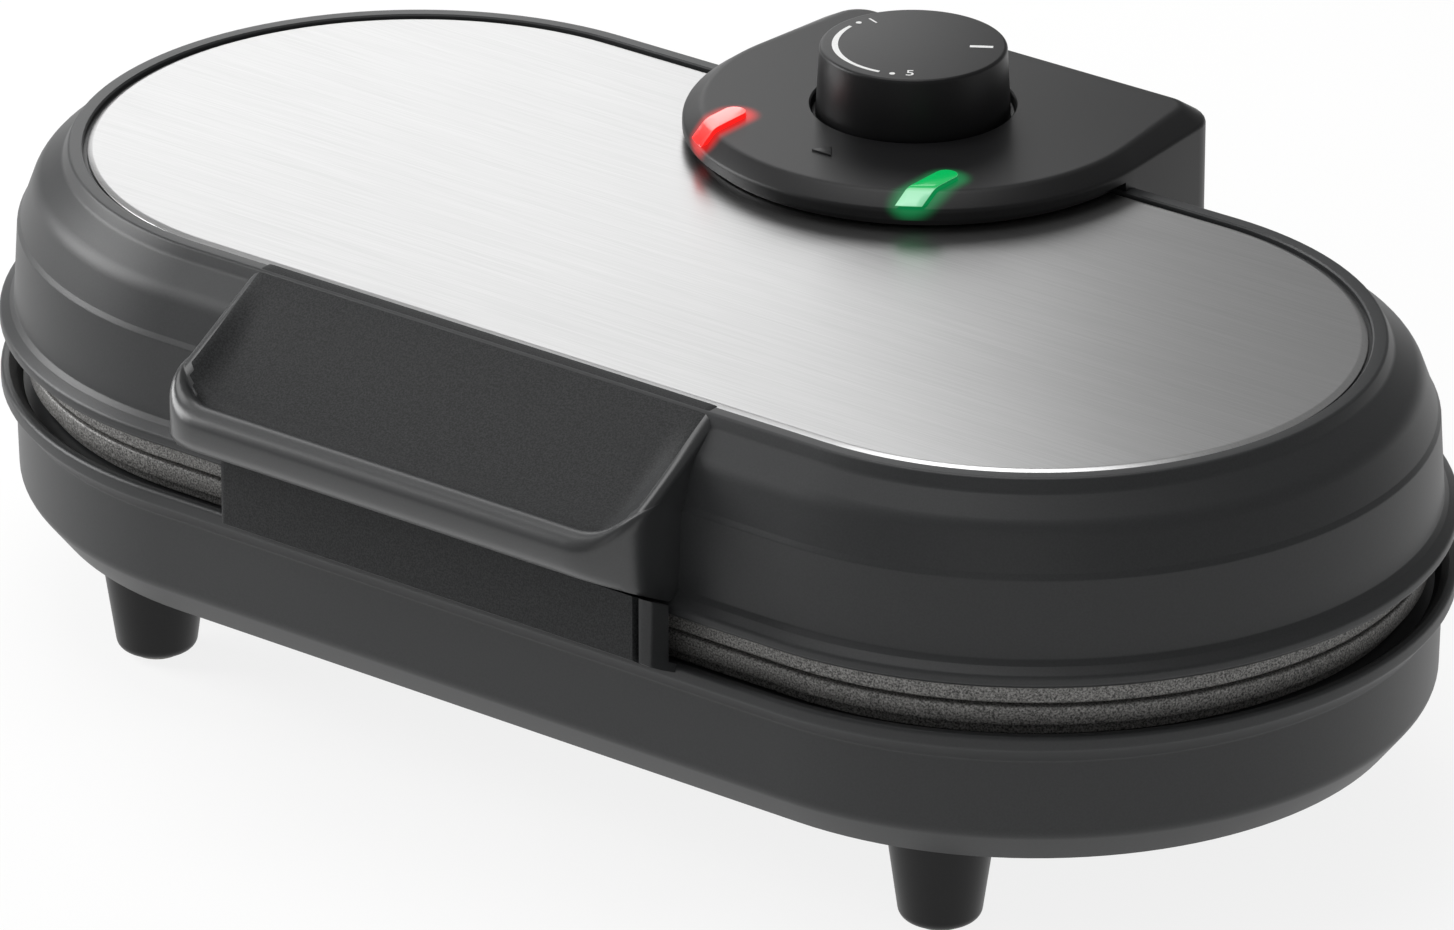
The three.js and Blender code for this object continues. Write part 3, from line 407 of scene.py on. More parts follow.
def lit_lens(name, side, slope, top, strength):
    """Tinted polycarbonate lit from below: sides, slanted front and top each glow under a polished skin."""
    made, tree, surface = finish(name, Roughness=0.16, IOR=1.58)
    surface.inputs["Base Color"].default_value = side
    facing = add(tree, "ShaderNodeNewGeometry")
    level = add(tree, "ShaderNodeSeparateXYZ", {0: facing.outputs["Normal"]})
    glow = add(tree, "ShaderNodeValToRGB", {"Fac": level.outputs["Z"]})
    glow.color_ramp.elements.new(LENS_FACES[1])
    for stop, place, tint in zip(glow.color_ramp.elements, LENS_FACES, (side, slope, top)):
        stop.position = place
        stop.color = tint
    tree.links.new(glow.outputs[0], surface.inputs["Emission Color"])
    surface.inputs["Emission Strength"].default_value = strength
    return made


def clear_glass():
    """Soda-lime glass of the small lamps: clear, with sharp highlights."""
    made, tree, surface = finish("lamp_glass", Roughness=0.05, IOR=1.52, Transmission_Weight=0.9)
    surface.inputs["Base Color"].default_value = linear("#f2ede6")
    return made


def printed_ink():
    """White pad-printed ink: flat white, slightly broken by the plastic's texture."""
    made, tree, surface = finish("white_print", Roughness=0.6)
    vary(tree, surface, grain(tree, size=0.3 * MM), linear("#e8e8e7"), spread=0.06)
    return made


FINISHES = {}


def make_finishes(colours, console):
    """Makes each finish under the name of its slot or use."""
    # Sides, slanted front and top of each lens
    red = (colours.red, colours.red, colours.red_top)
    green = (colours.green, colours.green_slope, colours.green_top)
    FINISHES.update(
        # The casings' satin black
        black_plastic=moulded_plastic("moulded_black_abs", colours.plastic, 0.42, gloss=0.38),
        # Rubbed smooth, so that the lip catches a soft highlight
        lip_plastic=moulded_plastic("buffed_black_abs", colours.plastic, 0.33, gloss=0.75),
        # Deeper black, with narrower reflections
        dark_plastic=moulded_plastic("polished_black_abs", colours.dark_plastic, 0.38, gloss=0.26),
        # Console ABS with each lamp's glow painted on it as emission
        console_plastic=console_plastic(colours, console),
        grained_plastic=grained_plastic(colours.grained),
        brushed_steel=brushed_steel(colours.steel),
        plate_coating=plate_coating(colours.coating),
        pale_rubber=plain_body("pale_silicone_rubber", "#d2cfc8", roughness=0.7, size=0.8 * MM),
        plain_steel=plain_metal("zinc_plated_steel", "#a2a2a2", roughness=0.32),
        tray_sheet=plain_metal("pressed_aluminium_sheet", "#bababa", roughness=0.4),
        red_lens=lit_lens("red_polycarbonate", *red, strength=0.85),
        green_lens=lit_lens("green_polycarbonate", *green, strength=0.8),
        bulb_glass=clear_glass(),
        ceramic=plain_body("steatite", "#e2dacb", roughness=0.6, size=1.5 * MM),
        print=printed_ink(),
    )


# Modelling steps


def deselect():
    """Leaves edit mode and deselects everything."""
    if bpy.context.object and bpy.context.object.mode != "OBJECT":
        bpy.ops.object.mode_set(mode="OBJECT")
    bpy.ops.object.select_all(action="DESELECT")


def choose(piece):
    """Makes a piece the only selected one and the active one."""
    deselect()
    piece.select_set(True)
    bpy.context.view_layer.objects.active = piece


def begin(name, point):
    """Starts a piece as one vertex at a point, and leaves it open in edit mode."""
    deselect()
    bpy.ops.mesh.primitive_plane_add(size=STARTER, location=point)
    piece = bpy.context.object
    piece.name = piece.data.name = name
    bpy.ops.object.transform_apply(location=True, rotation=False, scale=False)
    bpy.ops.object.mode_set(mode="EDIT")
    bpy.ops.mesh.select_mode(type="VERT")
    bpy.ops.mesh.select_all(action="SELECT")
    bpy.ops.mesh.merge(type="CENTER")
    return piece


def trace(points):
    """Extrudes the selected vertex from point to point."""
    for here, there in zip(points, points[1:]):
        bpy.ops.mesh.extrude_region_move(TRANSFORM_OT_translate={"value": there - here})


def close_up():
    """Merges doubles, fills open ends and points the faces outwards, then leaves edit mode."""
    bpy.ops.mesh.select_all(action="SELECT")
    bpy.ops.mesh.remove_doubles(threshold=WELD)
    bpy.ops.mesh.fill_holes(sides=0)
    bpy.ops.mesh.normals_make_consistent(inside=False)
    bpy.ops.object.mode_set(mode="OBJECT")


def racetrack(name, profile, closed=True):
    """Sweeps a profile of (radius, height) round both ends and along both sides of the plan outline."""
    start = [Vector((HALF_SPAN, -radius, height)) for radius, height in profile]
    piece = begin(name, start[0])
    trace(start + start[:1] if closed else start)
    bpy.ops.mesh.select_all(action="SELECT")
    for middle in (HALF_SPAN, -HALF_SPAN):
        center = (middle, 0, 0)
        bpy.ops.mesh.spin(steps=TURN_STEPS, angle=-math.pi, center=center, axis=(0, 0, 1))
        bpy.ops.mesh.extrude_region_move(TRANSFORM_OT_translate={"value": (-2 * middle, 0, 0)})
    close_up()
    return piece


def turned(name, profile, center, steps=FULL_STEPS):
    """Turns a profile of (radius, height) round an upright axis."""
    start = [Vector((center[0] + radius, center[1], height)) for radius, height in profile]
    piece = begin(name, start[0])
    trace(start)
    bpy.ops.mesh.select_all(action="SELECT")
    middle = (center[0], center[1], 0)
    bpy.ops.mesh.spin(steps=steps, angle=2 * math.pi, center=middle, axis=(0, 0, 1))
    close_up()
    return piece


def loft(name, rows):
    """Draws each row as a closed line, bridges each to the next and fills the two ends."""
    piece = begin(name, rows[0][0])
    trace(rows[0] + rows[0][:1])
    for row in rows[1:]:
        bpy.ops.mesh.select_all(action="DESELECT")
        bpy.ops.mesh.primitive_plane_add(size=STARTER, location=row[0])
        bpy.ops.mesh.merge(type="CENTER")
        trace(row + row[:1])
    bpy.ops.mesh.select_all(action="SELECT")
    bpy.ops.mesh.remove_doubles(threshold=WELD)
    bpy.ops.mesh.bridge_edge_loops(type="SINGLE")
    close_up()
    return piece


def prism(name, outline, direction):
    """Draws an outline and pushes its face out to a solid."""
    piece = begin(name, outline[0])
    trace(outline + outline[:1])
    bpy.ops.mesh.select_all(action="SELECT")
    bpy.ops.mesh.remove_doubles(threshold=WELD)
    bpy.ops.mesh.edge_face_add()
    bpy.ops.mesh.extrude_region_move(TRANSFORM_OT_translate={"value": direction})
    close_up()
    return piece


def soften(piece, width, segments=3, angle=35):
    """Rounds the edges that are sharper than an angle."""
    choose(piece)
    rounding = piece.modifiers.new("rounding", "BEVEL")
    rounding.width = width
    rounding.segments = segments
    rounding.limit_method = "ANGLE"
    rounding.angle_limit = math.radians(angle)
    bpy.ops.object.modifier_apply(modifier=rounding.name)


def combine(piece, other, operation="DIFFERENCE"):
    """Cuts a piece with another one, or joins them or keeps what they share, and removes the other one."""
    choose(piece)
    cut = piece.modifiers.new("cut", "BOOLEAN")
    cut.operation = operation
    cut.solver = "EXACT"
    cut.object = other
    bpy.ops.object.modifier_apply(modifier=cut.name)
    bpy.data.objects.remove(other)


def part_finish(piece, first, second, belongs):
    """Gives a piece its finish, and another one to the faces that pass a test."""
    piece.data.materials.append(FINISHES[first])
    piece.data.materials.append(FINISHES[second])
    choose(piece)
    bpy.ops.object.mode_set(mode="EDIT")
    bpy.ops.mesh.select_mode(type="FACE")
    bpy.ops.mesh.select_all(action="DESELECT")
    bpy.ops.object.mode_set(mode="OBJECT")
    for face in piece.data.polygons:
        face.select = belongs(face)
    bpy.ops.object.mode_set(mode="EDIT")
    piece.active_material_index = 1
    bpy.ops.object.material_slot_assign()
    bpy.ops.object.mode_set(mode="OBJECT")


def settle(piece, body, slot, *nodes, angle=32, finish_name=None):
    """Smooths a finished piece, gives it its finish and sets it on its body in place of CAD nodes."""
    if len(piece.data.polygons) < FEWEST_FACES:
        raise RuntimeError(f"{piece.name} has not become a solid")
    choose(piece)
    bpy.ops.object.shade_smooth_by_angle(angle=math.radians(angle))
    if not piece.data.materials or piece.data.materials[0] is None:
        piece.data.materials.clear()
        piece.data.materials.append(FINISHES[finish_name or slot])
    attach(piece, body)
    if nodes:
        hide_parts(*nodes)
    return piece


def rounded(corners, steps=ARC_STEPS):
    """Turns a row of (across, up, radius) corners into points, each corner rounded by its radius."""
    points = [Vector(corners[0][:2])]
    for before, here, after in zip(corners, corners[1:], corners[2:]):
        corner = Vector(here[:2])
        back = (Vector(before[:2]) - corner).normalized()
        on = (Vector(after[:2]) - corner).normalized()
        opening = back.angle(on)
        if here[2] == 0 or math.pi - opening < 0.01:
            points.append(corner)
            continue
        reach = here[2] / math.tan(opening / 2)
        middle = corner + (back + on).normalized() * here[2] / math.sin(opening / 2)
        first, last = corner + back * reach - middle, corner + on * reach - middle
        for i in range(steps + 1):
            points.append(middle + first.slerp(last, i / steps) * here[2])
    points.append(Vector(corners[-1][:2]))
    return points


def smooth(points, steps=4):
    """A curve through points: each stretch bends to meet its neighbours' directions."""
    curve = []
    last = len(points) - 1
    for i in range(last):
        near = (Vector(points[max(0, min(last, k))]) for k in (i - 1, i, i + 1, i + 2))
        before, here, there, after = near
        for step in range(steps):
            t = step / steps
            turn = 2 * here + (there - before) * t
            turn += (2 * before - 5 * here + 4 * there - after) * t**2
            turn += (3 * here - before - 3 * there + after) * t**3
            curve.append(turn / 2)
    return curve + [Vector(points[last])]


def arc(center, radius, first, last, steps):
    """Points of an arc in plan, from one angle to another."""
    turn = (last - first) / steps
    angles = [first + turn * i for i in range(steps + 1)]
    return [Vector((center[0] + radius * math.cos(a), center[1] + radius * math.sin(a))) for a in angles]


def raised(outline, height):
    """Plan points at one height."""
    return [Vector((point.x, point.y, height)) for point in outline]


# Base

# The block that the guard is cut from: its foot above the base's lowest point, and its height
GUARD_BLOCK_FOOT = 30 * MM
GUARD_BLOCK_HEIGHT = 40 * MM

# How much a foot narrows downwards, and the roundings of a foot and its pad
FOOT_TAPER = 3.6 * MM
FOOT_ROUND = 3.2 * MM
PAD_ROUND = 0.5 * MM

# How deep a hinge lug's root sits in its casing's wall, and the gap between an ear and its arm
ROOT_DEPTH = 1.8 * MM
HINGE_GAP = 0.3 * MM

# The roots' lower and upper ends: an ear's below the base's lip, an arm's above the lid's edge
EAR_ROOT = (21.8 * MM, 4.8 * MM)
ARM_ROOT = (8 * MM, 25 * MM)

# A recess's slope and rounding at its floor, and the slight edge at its mouth
RECESS_DRAFT = 2 * MM
RECESS_ROUND = 4 * MM
RECESS_EDGE = 0.4 * MM


def base_outside(sizes):
    """The outside of the base: bottom bevel, upright wall, flare and rounded lip."""
    lip = sizes.lip_radius
    # Radius, height and rounding of each corner
    return rounded([
        (sizes.foot_radius, BASE_LOW.z, 0),
        (sizes.wall_radius - 0.4 * MM, sizes.bevel_top, 5 * MM),
        (sizes.wall_radius, sizes.lip_foot, 1.5 * MM),
        (lip, sizes.lip_foot + 4.6 * MM, 1.4 * MM),
        (lip, sizes.lip_top, 1.2 * MM),
        (lip - 2.2 * MM, sizes.lip_top, 0.4 * MM),
        (sizes.seat_radius + 1.6 * MM, sizes.lip_top - 1.6 * MM, 0.5 * MM),
        (sizes.seat_radius, sizes.lip_top - sizes.ledge_drop, 0),
    ])


def make_base_casing(sizes):
    """The base casing: its outside, a ledge for the lower plate and a hollow that is open below."""
    ledge = sizes.lip_top - sizes.ledge_drop
    inner = sizes.wall_radius - sizes.wall
    inside = [
        (sizes.seat_radius - sizes.ledge_width, ledge),
        (sizes.seat_radius - sizes.ledge_width, ledge - sizes.wall),
        (inner, ledge - sizes.wall),
        (inner, sizes.bevel_top + sizes.wall),
        (sizes.foot_radius - sizes.wall, BASE_LOW.z),
    ]
    casing = racetrack("base_casing", base_outside(sizes) + [Vector(point) for point in inside])
    settle(casing, "base", "black_plastic", "base_shell")


def handle_under(distance):
    """The height of the handle's underside at a distance in front of the axis."""
    sizes = bpy.context.scene.handle_sizes
    slope = (sizes.lip_foot - HANDLE_LOW.z) / (-HANDLE_LOW.y - sizes.heel)
    return HANDLE_LOW.z + max(distance - sizes.heel, 0) * slope


def make_guard(sizes, base):
    """The upright guard under the handle: a grained face, a groove and a smooth column at its right end."""
    front, start, end = -GUARD_LOW.y, GUARD_LOW.x, sizes.end
    back, ahead = base.lip_radius - 2 * MM, front + 4 * MM
    corner, end_corner, groove = sizes.corner, sizes.end_corner, sizes.groove
    left = arc((start + corner, -front + corner), corner, math.pi, 1.5 * math.pi, 8)
    column = end - end_corner
    right = arc((column, -front + end_corner), end_corner, -0.5 * math.pi, 0, 8)
    deep = -front + groove
    notch = [(column - groove, -front), (column - groove * 0.7, deep), (column - groove * 0.3, deep)]
    outline = left + [Vector(point) for point in notch] + right
    outline += [Vector((end, -back)), Vector((start, -back))]
    low = BASE_LOW.z + GUARD_BLOCK_FOOT
    block = prism("guard_plate", raised(outline, low), Vector((0, 0, GUARD_BLOCK_HEIGHT)))
    inner = front - sizes.thickness
    # Seen from the side: its top follows the handle, and its back lies in the base's wall
    top = [(y, handle_under(y) - sizes.gap) for y in (ahead, front, inner)]
    side = [(ahead, sizes.foot + 4 * MM)] + top + [
        (inner, base.lip_top + 2 * MM), (back - MM, base.lip_top - MM), (back - MM, base.lip_foot + 5 * MM),
        (front - 6 * MM, sizes.foot - 2.5 * MM), (front - 1.5 * MM, sizes.foot),
    ]
    width = end + 2 * MM
    slab = prism("guard_side", [Vector((-width, -y, z)) for y, z in side], Vector((2 * width, 0, 0)))
    combine(block, slab, "INTERSECT")
    soften(block, 0.4 * MM, 2, 40)
    part_finish(block, "grained_plastic", "black_plastic", lambda face: face.center.x > column - 0.1 * MM)
    settle(block, "base", "grained_plastic", "front_guard")


def lug(name, sizes, root, start, width):
    """A hinge lug: two tangents from its root (y, low, high) on a casing's wall round the boss."""
    root_y, low, high = root

    def tangent(height, side):
        """The angle at which a line from the root at a height touches the boss."""
        away = math.hypot(root_y - HINGE_Y, height - HINGE_Z)
        return math.atan2(height - HINGE_Z, root_y - HINGE_Y) + side * math.acos(sizes.boss_radius / away)

    first, last = tangent(low, 1), tangent(high, -1)
    while last < first:
        last += 2 * math.pi
    end = arc((HINGE_Y, HINGE_Z), sizes.boss_radius, first, last, 24)
    side = [Vector((root_y, low))] + end + [Vector((root_y, high))]
    piece = prism(name, [Vector((start, p.x, p.y)) for p in side], Vector((width, 0, 0)))
    soften(piece, 0.6 * MM, 3, 40)
    return piece


def make_hinge(sizes, base, lid):
    """Two ears on the base and two arms on the lid, on one pin."""
    outer = PIN_HIGH.x - sizes.pin_overhang
    root = (base.wall_radius - ROOT_DEPTH, base.lip_top - EAR_ROOT[0], base.lip_top - EAR_ROOT[1])
    for i, start in enumerate((-outer, outer - sizes.ear_width)):
        ear = lug(f"ear_{i + 1}", sizes, root, start, sizes.ear_width)
        settle(ear, "base", "black_plastic", f"hinge_ear_{i + 1}")
    outer -= sizes.ear_width + HINGE_GAP
    root = (lid.wall_radius - ROOT_DEPTH, LID_LOW.z + ARM_ROOT[0], LID_LOW.z + ARM_ROOT[1])
    for i, start in enumerate((-outer, outer - sizes.arm_width)):
        arm = lug(f"arm_{i + 1}", sizes, root, start, sizes.arm_width)
        settle(arm, "lid", "black_plastic", f"hinge_arm_{i + 1}")


def make_feet():
    """Four tapered feet with rounded ends, each with a pale pad let into it."""
    for i in range(4):
        low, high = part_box(f"foot_{i + 1}")
        center = (low + high) / 2
        top = (high.x - low.x) / 2
        bottom = top - FOOT_TAPER
        profile = rounded([(0, low.z, 0), (bottom, low.z, FOOT_ROUND), (top, high.z, 0), (0, high.z, 0)], 8)
        foot = turned(f"foot_body_{i + 1}", profile, center, 64)
        settle(foot, "base", "black_plastic", f"foot_{i + 1}", finish_name="dark_plastic")
        low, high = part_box(f"foot_pad_{i + 1}")
        radius = (high.x - low.x) / 2
        profile = rounded([(0, low.z, 0), (radius, low.z, PAD_ROUND), (radius, high.z, 0), (0, high.z, 0)])
        pad = turned(f"foot_disc_{i + 1}", profile, center, 48)
        settle(pad, "base", "pale_rubber", f"foot_pad_{i + 1}")


def make_plate(name, sizes, face, back, body, node):
    """A cooking plate: a cast slab with a flange and two round recesses, whose floors curve up."""
    up = 1 if face > back else -1
    rim, neck = PLATE_HIGH.y, PLATE_HIGH.y - sizes.overhang
    under = face - sizes.flange * up
    edge = sizes.edge
    corners = [
        (0, back, 0), (neck, back, edge), (neck, under, 0),
        (rim, under, edge), (rim, face, edge), (0, face, 0),
    ]
    plate = racetrack(name, rounded(corners)[1:-1], closed=False)
    depth = sizes.recess_depth * up
    mouth = sizes.recess_radius
    for middle in (HALF_SPAN, -HALF_SPAN):
        hollow = rounded([
            (0, face - depth, 0), (mouth - RECESS_DRAFT, face - depth, RECESS_ROUND),
            (mouth, face - RECESS_EDGE * up, 0), (mouth + RECESS_EDGE, face, 0),
            (mouth + RECESS_EDGE, face + depth, 0), (0, face + depth, 0),
        ])
        combine(plate, turned("recess", hollow, (middle, 0), 96))
    settle(plate, body, "plate_coating", node)


# Lid

# Inside the lid: thickness of deck and ledge, the ledge's gap to the upper plate and reach under its rim
DECK_THICKNESS = 2.5 * MM
LEDGE_THICKNESS = 2.6 * MM
LEDGE_GAP = 0.3 * MM
LEDGE_REACH = 5.3 * MM

# Thickness of the lid's wall at its mouth
MOUTH_WALL = 4.5 * MM

# The steel sheet's bevel, and how far the sheet reaches in under the console
SHEET_BEVEL_DROP = 0.75 * MM
SHEET_BEVEL_WIDTH = 1.6 * MM
SHEET_UNDERLAP = 2 * MM


def lid_outside(sizes):
    """The outside of the lid: bead, wall with its soft crease, shoulder and raised rim."""
    low, top = LID_LOW.z, LID_HIGH.z
    bead_top = low + sizes.bead_height
    # Radius, height and rounding of each corner
    return rounded([
        (sizes.bead_radius - 2 * MM, low, 0),
        (sizes.bead_radius, low + 1.3 * MM, 1.2 * MM),
        (sizes.bead_radius, low + 3.6 * MM, 1.4 * MM),
        (sizes.wall_radius + 1.2 * MM, low + 5.4 * MM, 1.2 * MM),
        (sizes.wall_radius, bead_top + 0.4 * MM, 0.8 * MM),
        (sizes.crease_radius, low + sizes.crease_height, 1.2 * MM),
        (sizes.crease_radius - sizes.crease_step, low + sizes.crease_height + 1.4 * MM, 1.2 * MM),
        (sizes.shoulder_radius, top - 9 * MM, 9 * MM),
        (sizes.rim_radius + 1.6 * MM, top - 3.2 * MM, 3 * MM),
        (sizes.rim_radius, top, 1.1 * MM),
        (sizes.rim_inner + 0.4 * MM, top, 0),
    ])


def make_lid_casing(sizes):
    """The lid casing: its outside, a deck under the steel and a ledge over the upper plate."""
    top = LID_HIGH.z
    deck = top - sizes.rim_depth
    deck_edge = sizes.rim_inner - sizes.wall
    deck_under = deck - DECK_THICKNESS
    inner = sizes.wall_radius - sizes.wall
    ledge = UPPER_LOW.z + bpy.context.scene.plate_sizes.thickness + LEDGE_GAP
    ledge_top = ledge + LEDGE_THICKNESS
    ledge_radius = PLATE_HIGH.y - LEDGE_REACH
    mouth = sizes.bead_radius - MOUTH_WALL
    inside = [
        (sizes.rim_inner, top - 0.4 * MM), (sizes.rim_inner, deck), (deck_edge, deck),
        (deck_edge, deck_under), (sizes.rim_radius - 2 * MM, deck_under),
        (inner - 6 * MM, deck - 12 * MM), (inner - 2 * MM, deck - 22 * MM),
        (inner, ledge_top), (ledge_radius, ledge_top), (ledge_radius, ledge),
        (mouth, ledge), (mouth, LID_LOW.z),
    ]
    casing = racetrack("lid_casing", lid_outside(sizes) + [Vector(point) for point in inside])
    settle(casing, "lid", "black_plastic", "lid_shell", angle=38)


def make_inlay(console):
    """The brushed sheet in the rim: a flat face and a narrow bright bevel round it."""
    outer, top = INLAY_HIGH.y, INLAY_HIGH.z
    bevel = [(outer, top - SHEET_BEVEL_DROP, 0.3 * MM), (outer - SHEET_BEVEL_WIDTH, top, 1.5 * MM)]
    profile = rounded([(outer, top - MM, 0), *bevel, (0, top, 0)], 4)
    sheet = racetrack("steel_inlay", profile[:-1], closed=False)
    seat = raised(hood_outline(console, console.overhang + SHEET_UNDERLAP), top - 4 * MM)
    combine(sheet, prism("hood_place", seat, Vector((0, 0, 8 * MM))))
    settle(sheet, "lid", "brushed_steel", "lid_inlay", angle=50)


# Console

# The slope at which the console's sides draw in to the back, and the inset that would add 1 to it
FLANK_SHARE = 0.07
FLANK_TURN = 90 * MM

# The gap between the console and the lid casing
LID_GAP = 0.3 * MM

# The well round the knob: thickness and rounding of its floor, and the rounded edge at its mouth
WELL_FLOOR = 2 * MM
WELL_ROUND = 0.6 * MM
WELL_EDGE = 0.5 * MM

# Depths below the console's top of the lamps' slots and of their lenses
SLOT_DEPTH = 2.5 * MM
LENS_DEPTH = 2.2 * MM

# The gap round a lens in its slot, and the rounding of its edges
LENS_GAP = 0.15 * MM
LENS_ROUND = 0.5 * MM

# The middle of the pointer's base, from the centre of the round front
POINTER_PLACE = Vector((-1.1, -43.7)) * MM

# How deep the pointer sits in the console, its whole height and the rounding of its edges
POINTER_SINK = 0.4 * MM
POINTER_HEIGHT = 0.9 * MM
POINTER_ROUND = 0.15 * MM


def hood_center(sizes):
    """The centre of the console's round front, in plan."""
    return Vector((sizes.center_x, HOOD_HIGH.y - sizes.back_depth))


def hood_outline(sizes, inset):
    """The console in plan: a round front, two sides that draw in to the back and rounded back corners."""
    center = hood_center(sizes)
    front = sizes.radius - inset
    corner = max(sizes.corner - inset, sizes.corner / 4)
    normal = math.atan(FLANK_SHARE + inset / FLANK_TURN)
    corner_y = sizes.back_depth - inset - corner
    corner_x = (front - corner - corner_y * math.sin(normal)) / math.cos(normal)
    points = arc(center, front, -math.pi - normal, normal, 72)
    points += arc(center + Vector((corner_x, corner_y)), corner, normal, math.pi / 2, 8)
    points += arc(center + Vector((-corner_x, corner_y)), corner, math.pi / 2, math.pi - normal, 8)
    return points


def hood_form(name, sizes, grow, low):
    """The console's outer form, offset outwards: an upright side and a slanted band up to its flat top."""
    top = HOOD_HIGH.z
    side = rounded([
        (0, low, 0), (0, top - sizes.bevel_drop, 1.6 * MM), (sizes.bevel, top, 3 * MM),
        (sizes.bevel + 1.5 * MM, top, 0),
    ])
    rows = []
    for before, here, after in zip(side[:1] + side, side, side[1:] + side[-1:]):
        along = (after - before).normalized()
        rows.append(raised(hood_outline(sizes, here.x - along.y * grow), here.y + along.x * grow))
    return loft(name, rows)


def window(name, sizes, x, grow, low, high):
    """The upright form of a lamp window: round at its inner end and square at the front."""
    inner = hood_center(sizes).y - sizes.lamp_forward
    half = sizes.lamp_half_width + grow
    front = inner - sizes.lamp_length - grow
    outline = [Vector((x - half, front)), Vector((x + half, front))]
    outline += arc((x, inner - sizes.lamp_half_width), half, 0, math.pi, 12)
    return prism(name, raised(outline, low), Vector((0, 0, high - low)))


def lamp_places(sizes):
    """The places of the red and the green lamp along the plates."""
    return [sizes.center_x - sizes.lamp_offset, sizes.center_x + sizes.lamp_offset]


def make_hood(sizes, lid):
    """The console: hollow, cut to the lid and clear of the steel, with a well and two lamp slots."""
    low, top = HOOD_LOW.z, HOOD_HIGH.z
    hood = hood_form("console_cover", sizes, 0, low)
    core = raised(hood_outline(sizes, sizes.overhang + sizes.wall), low - 4 * MM)
    combine(hood, prism("hood_hollow", core, Vector((0, 0, top - sizes.wall - low + 4 * MM))))
    # Clear of the lid casing
    envelope = [(point.x + LID_GAP, point.y) for point in lid_outside(lid)[:-1]]
    envelope.append((lid.rim_inner, LID_HIGH.z + 0.1 * MM))
    combine(hood, racetrack("lid_envelope", envelope, closed=False))
    # A dark slit over the steel sheet, in front of the foot
    sheet = INLAY_HIGH.z
    slot = [(lid.rim_inner, sheet - MM), (lid.rim_inner, sheet + sizes.overhang_gap)]
    gap = racetrack("sheet_gap", slot, closed=False)
    foot = raised(hood_outline(sizes, sizes.overhang), sheet - 3 * MM)
    combine(gap, prism("hood_foot", foot, Vector((0, 0, 12 * MM))))
    combine(hood, gap)
    # The knob's well, sunk in a cup under the top
    floor = top - sizes.well_depth
    outer = sizes.well_radius + sizes.wall
    cup = [(0, floor - WELL_FLOOR), (outer, floor - WELL_FLOOR), (outer, top - MM), (0, top - MM)]
    combine(hood, turned("well_cup", cup, KNOB_CENTER, 96), "UNION")
    wall = sizes.well_radius
    mouth = wall + WELL_EDGE
    well = rounded([
        (0, floor, 0), (wall, floor, WELL_ROUND), (wall, top - WELL_EDGE, WELL_EDGE),
        (mouth, top, 0), (mouth, top + 2 * MM, 0), (0, top + 2 * MM, 0),
    ])
    combine(hood, turned("well", well, KNOB_CENTER, 96))
    for x in lamp_places(sizes):
        combine(hood, window("slot", sizes, x, 0, top - SLOT_DEPTH, top + 2 * MM))
    # The console's finish carries each lamp's painted glow
    settle(hood, "lid", "black_plastic", "console_hood", angle=40, finish_name="console_plastic")


def make_pointer(sizes):
    """The small raised arrowhead that points at the knob."""
    foot = hood_center(sizes) + POINTER_PLACE
    half = Vector((sizes.pointer_width / 2, 0))
    plan = [foot - half, foot + half, foot + Vector((0, sizes.pointer_length))]
    arrow = prism("set_pointer", raised(plan, HOOD_HIGH.z - POINTER_SINK), Vector((0, 0, POINTER_HEIGHT)))
    soften(arrow, POINTER_ROUND, 2, 40)
    # The pointer takes the console's finish, with its painted lamp glow
    settle(arrow, "lid", "black_plastic", finish_name="console_plastic")


def make_lamps(sizes):
    """Two lenses, each a block that stands out of the console and follows its slanted band down."""
    top = HOOD_HIGH.z
    for x, tint in zip(lamp_places(sizes), ("red", "green")):
        lens = window(f"{tint}_window", sizes, x, -LENS_GAP, top - LENS_DEPTH, top + 4 * MM)
        combine(lens, hood_form("lens_skin", sizes, sizes.lamp_rise, HOOD_LOW.z), "INTERSECT")
        soften(lens, LENS_ROUND, 3, 40)
        settle(lens, "lid", f"{tint}_lens", f"{tint}_lens", angle=45)


# Knob

# The printed heat arc: its ends in degrees, its steps, half its least width and what its swell adds
HEAT_FIRST = 180
HEAT_LAST = 281
HEAT_STEPS = 40
HEAT_HALF_WIDTH = 0.25 * MM
HEAT_SWELL = 0.55 * MM

# The dots and figures at the arc's ends: angles in degrees, sizes, and the figures' distance from the axis
DOTS = {"low_dot": 171, "high_dot": 291}
DOT_RADIUS = 0.75 * MM
FIGURES = {"low_figure": ("1", 160), "high_figure": ("5", 304)}
FIGURE_RADIUS = 19.2 * MM
FIGURE_SIZE = 5 * MM

# The stroke of the off place: angle in degrees, distance from the axis, half its length, width to length
OFF_ANGLE = 32.6
OFF_RADIUS = 17.5 * MM
OFF_HALF_LENGTH = 3 * MM
OFF_WIDTH_SHARE = 0.22


def knob_top():
    """The height of the knob's top."""
    return KNOB_HIGH.z + bpy.context.scene.knob_sizes.rise


def make_knob(sizes):
    """The heat knob: a hollow cup with a flat top, a rounded edge and a faint flare to its foot."""
    foot = (KNOB_HIGH.x - KNOB_LOW.x) / 2
    top, low = knob_top(), KNOB_LOW.z
    inner = foot - sizes.flare - sizes.wall
    profile = [(0, top - sizes.wall, 0), (inner, top - sizes.wall, MM), (foot - sizes.wall, low, 0)]
    profile += [(foot, low, 0.3 * MM), (foot - sizes.flare, top, sizes.edge), (0, top, 0)]
    knob = turned("heat_knob", rounded(profile, 8), KNOB_CENTER)
    settle(knob, "dial", "black_plastic", "knob", finish_name="dark_plastic")


def flat_mark(name, outline):
    """A thin print lying on the knob's top."""
    ink = bpy.context.scene.knob_sizes.print_height
    mark = prism(name, raised(outline, knob_top() - ink), Vector((0, 0, 2 * ink)))
    settle(mark, "dial", "black_plastic", finish_name="print")


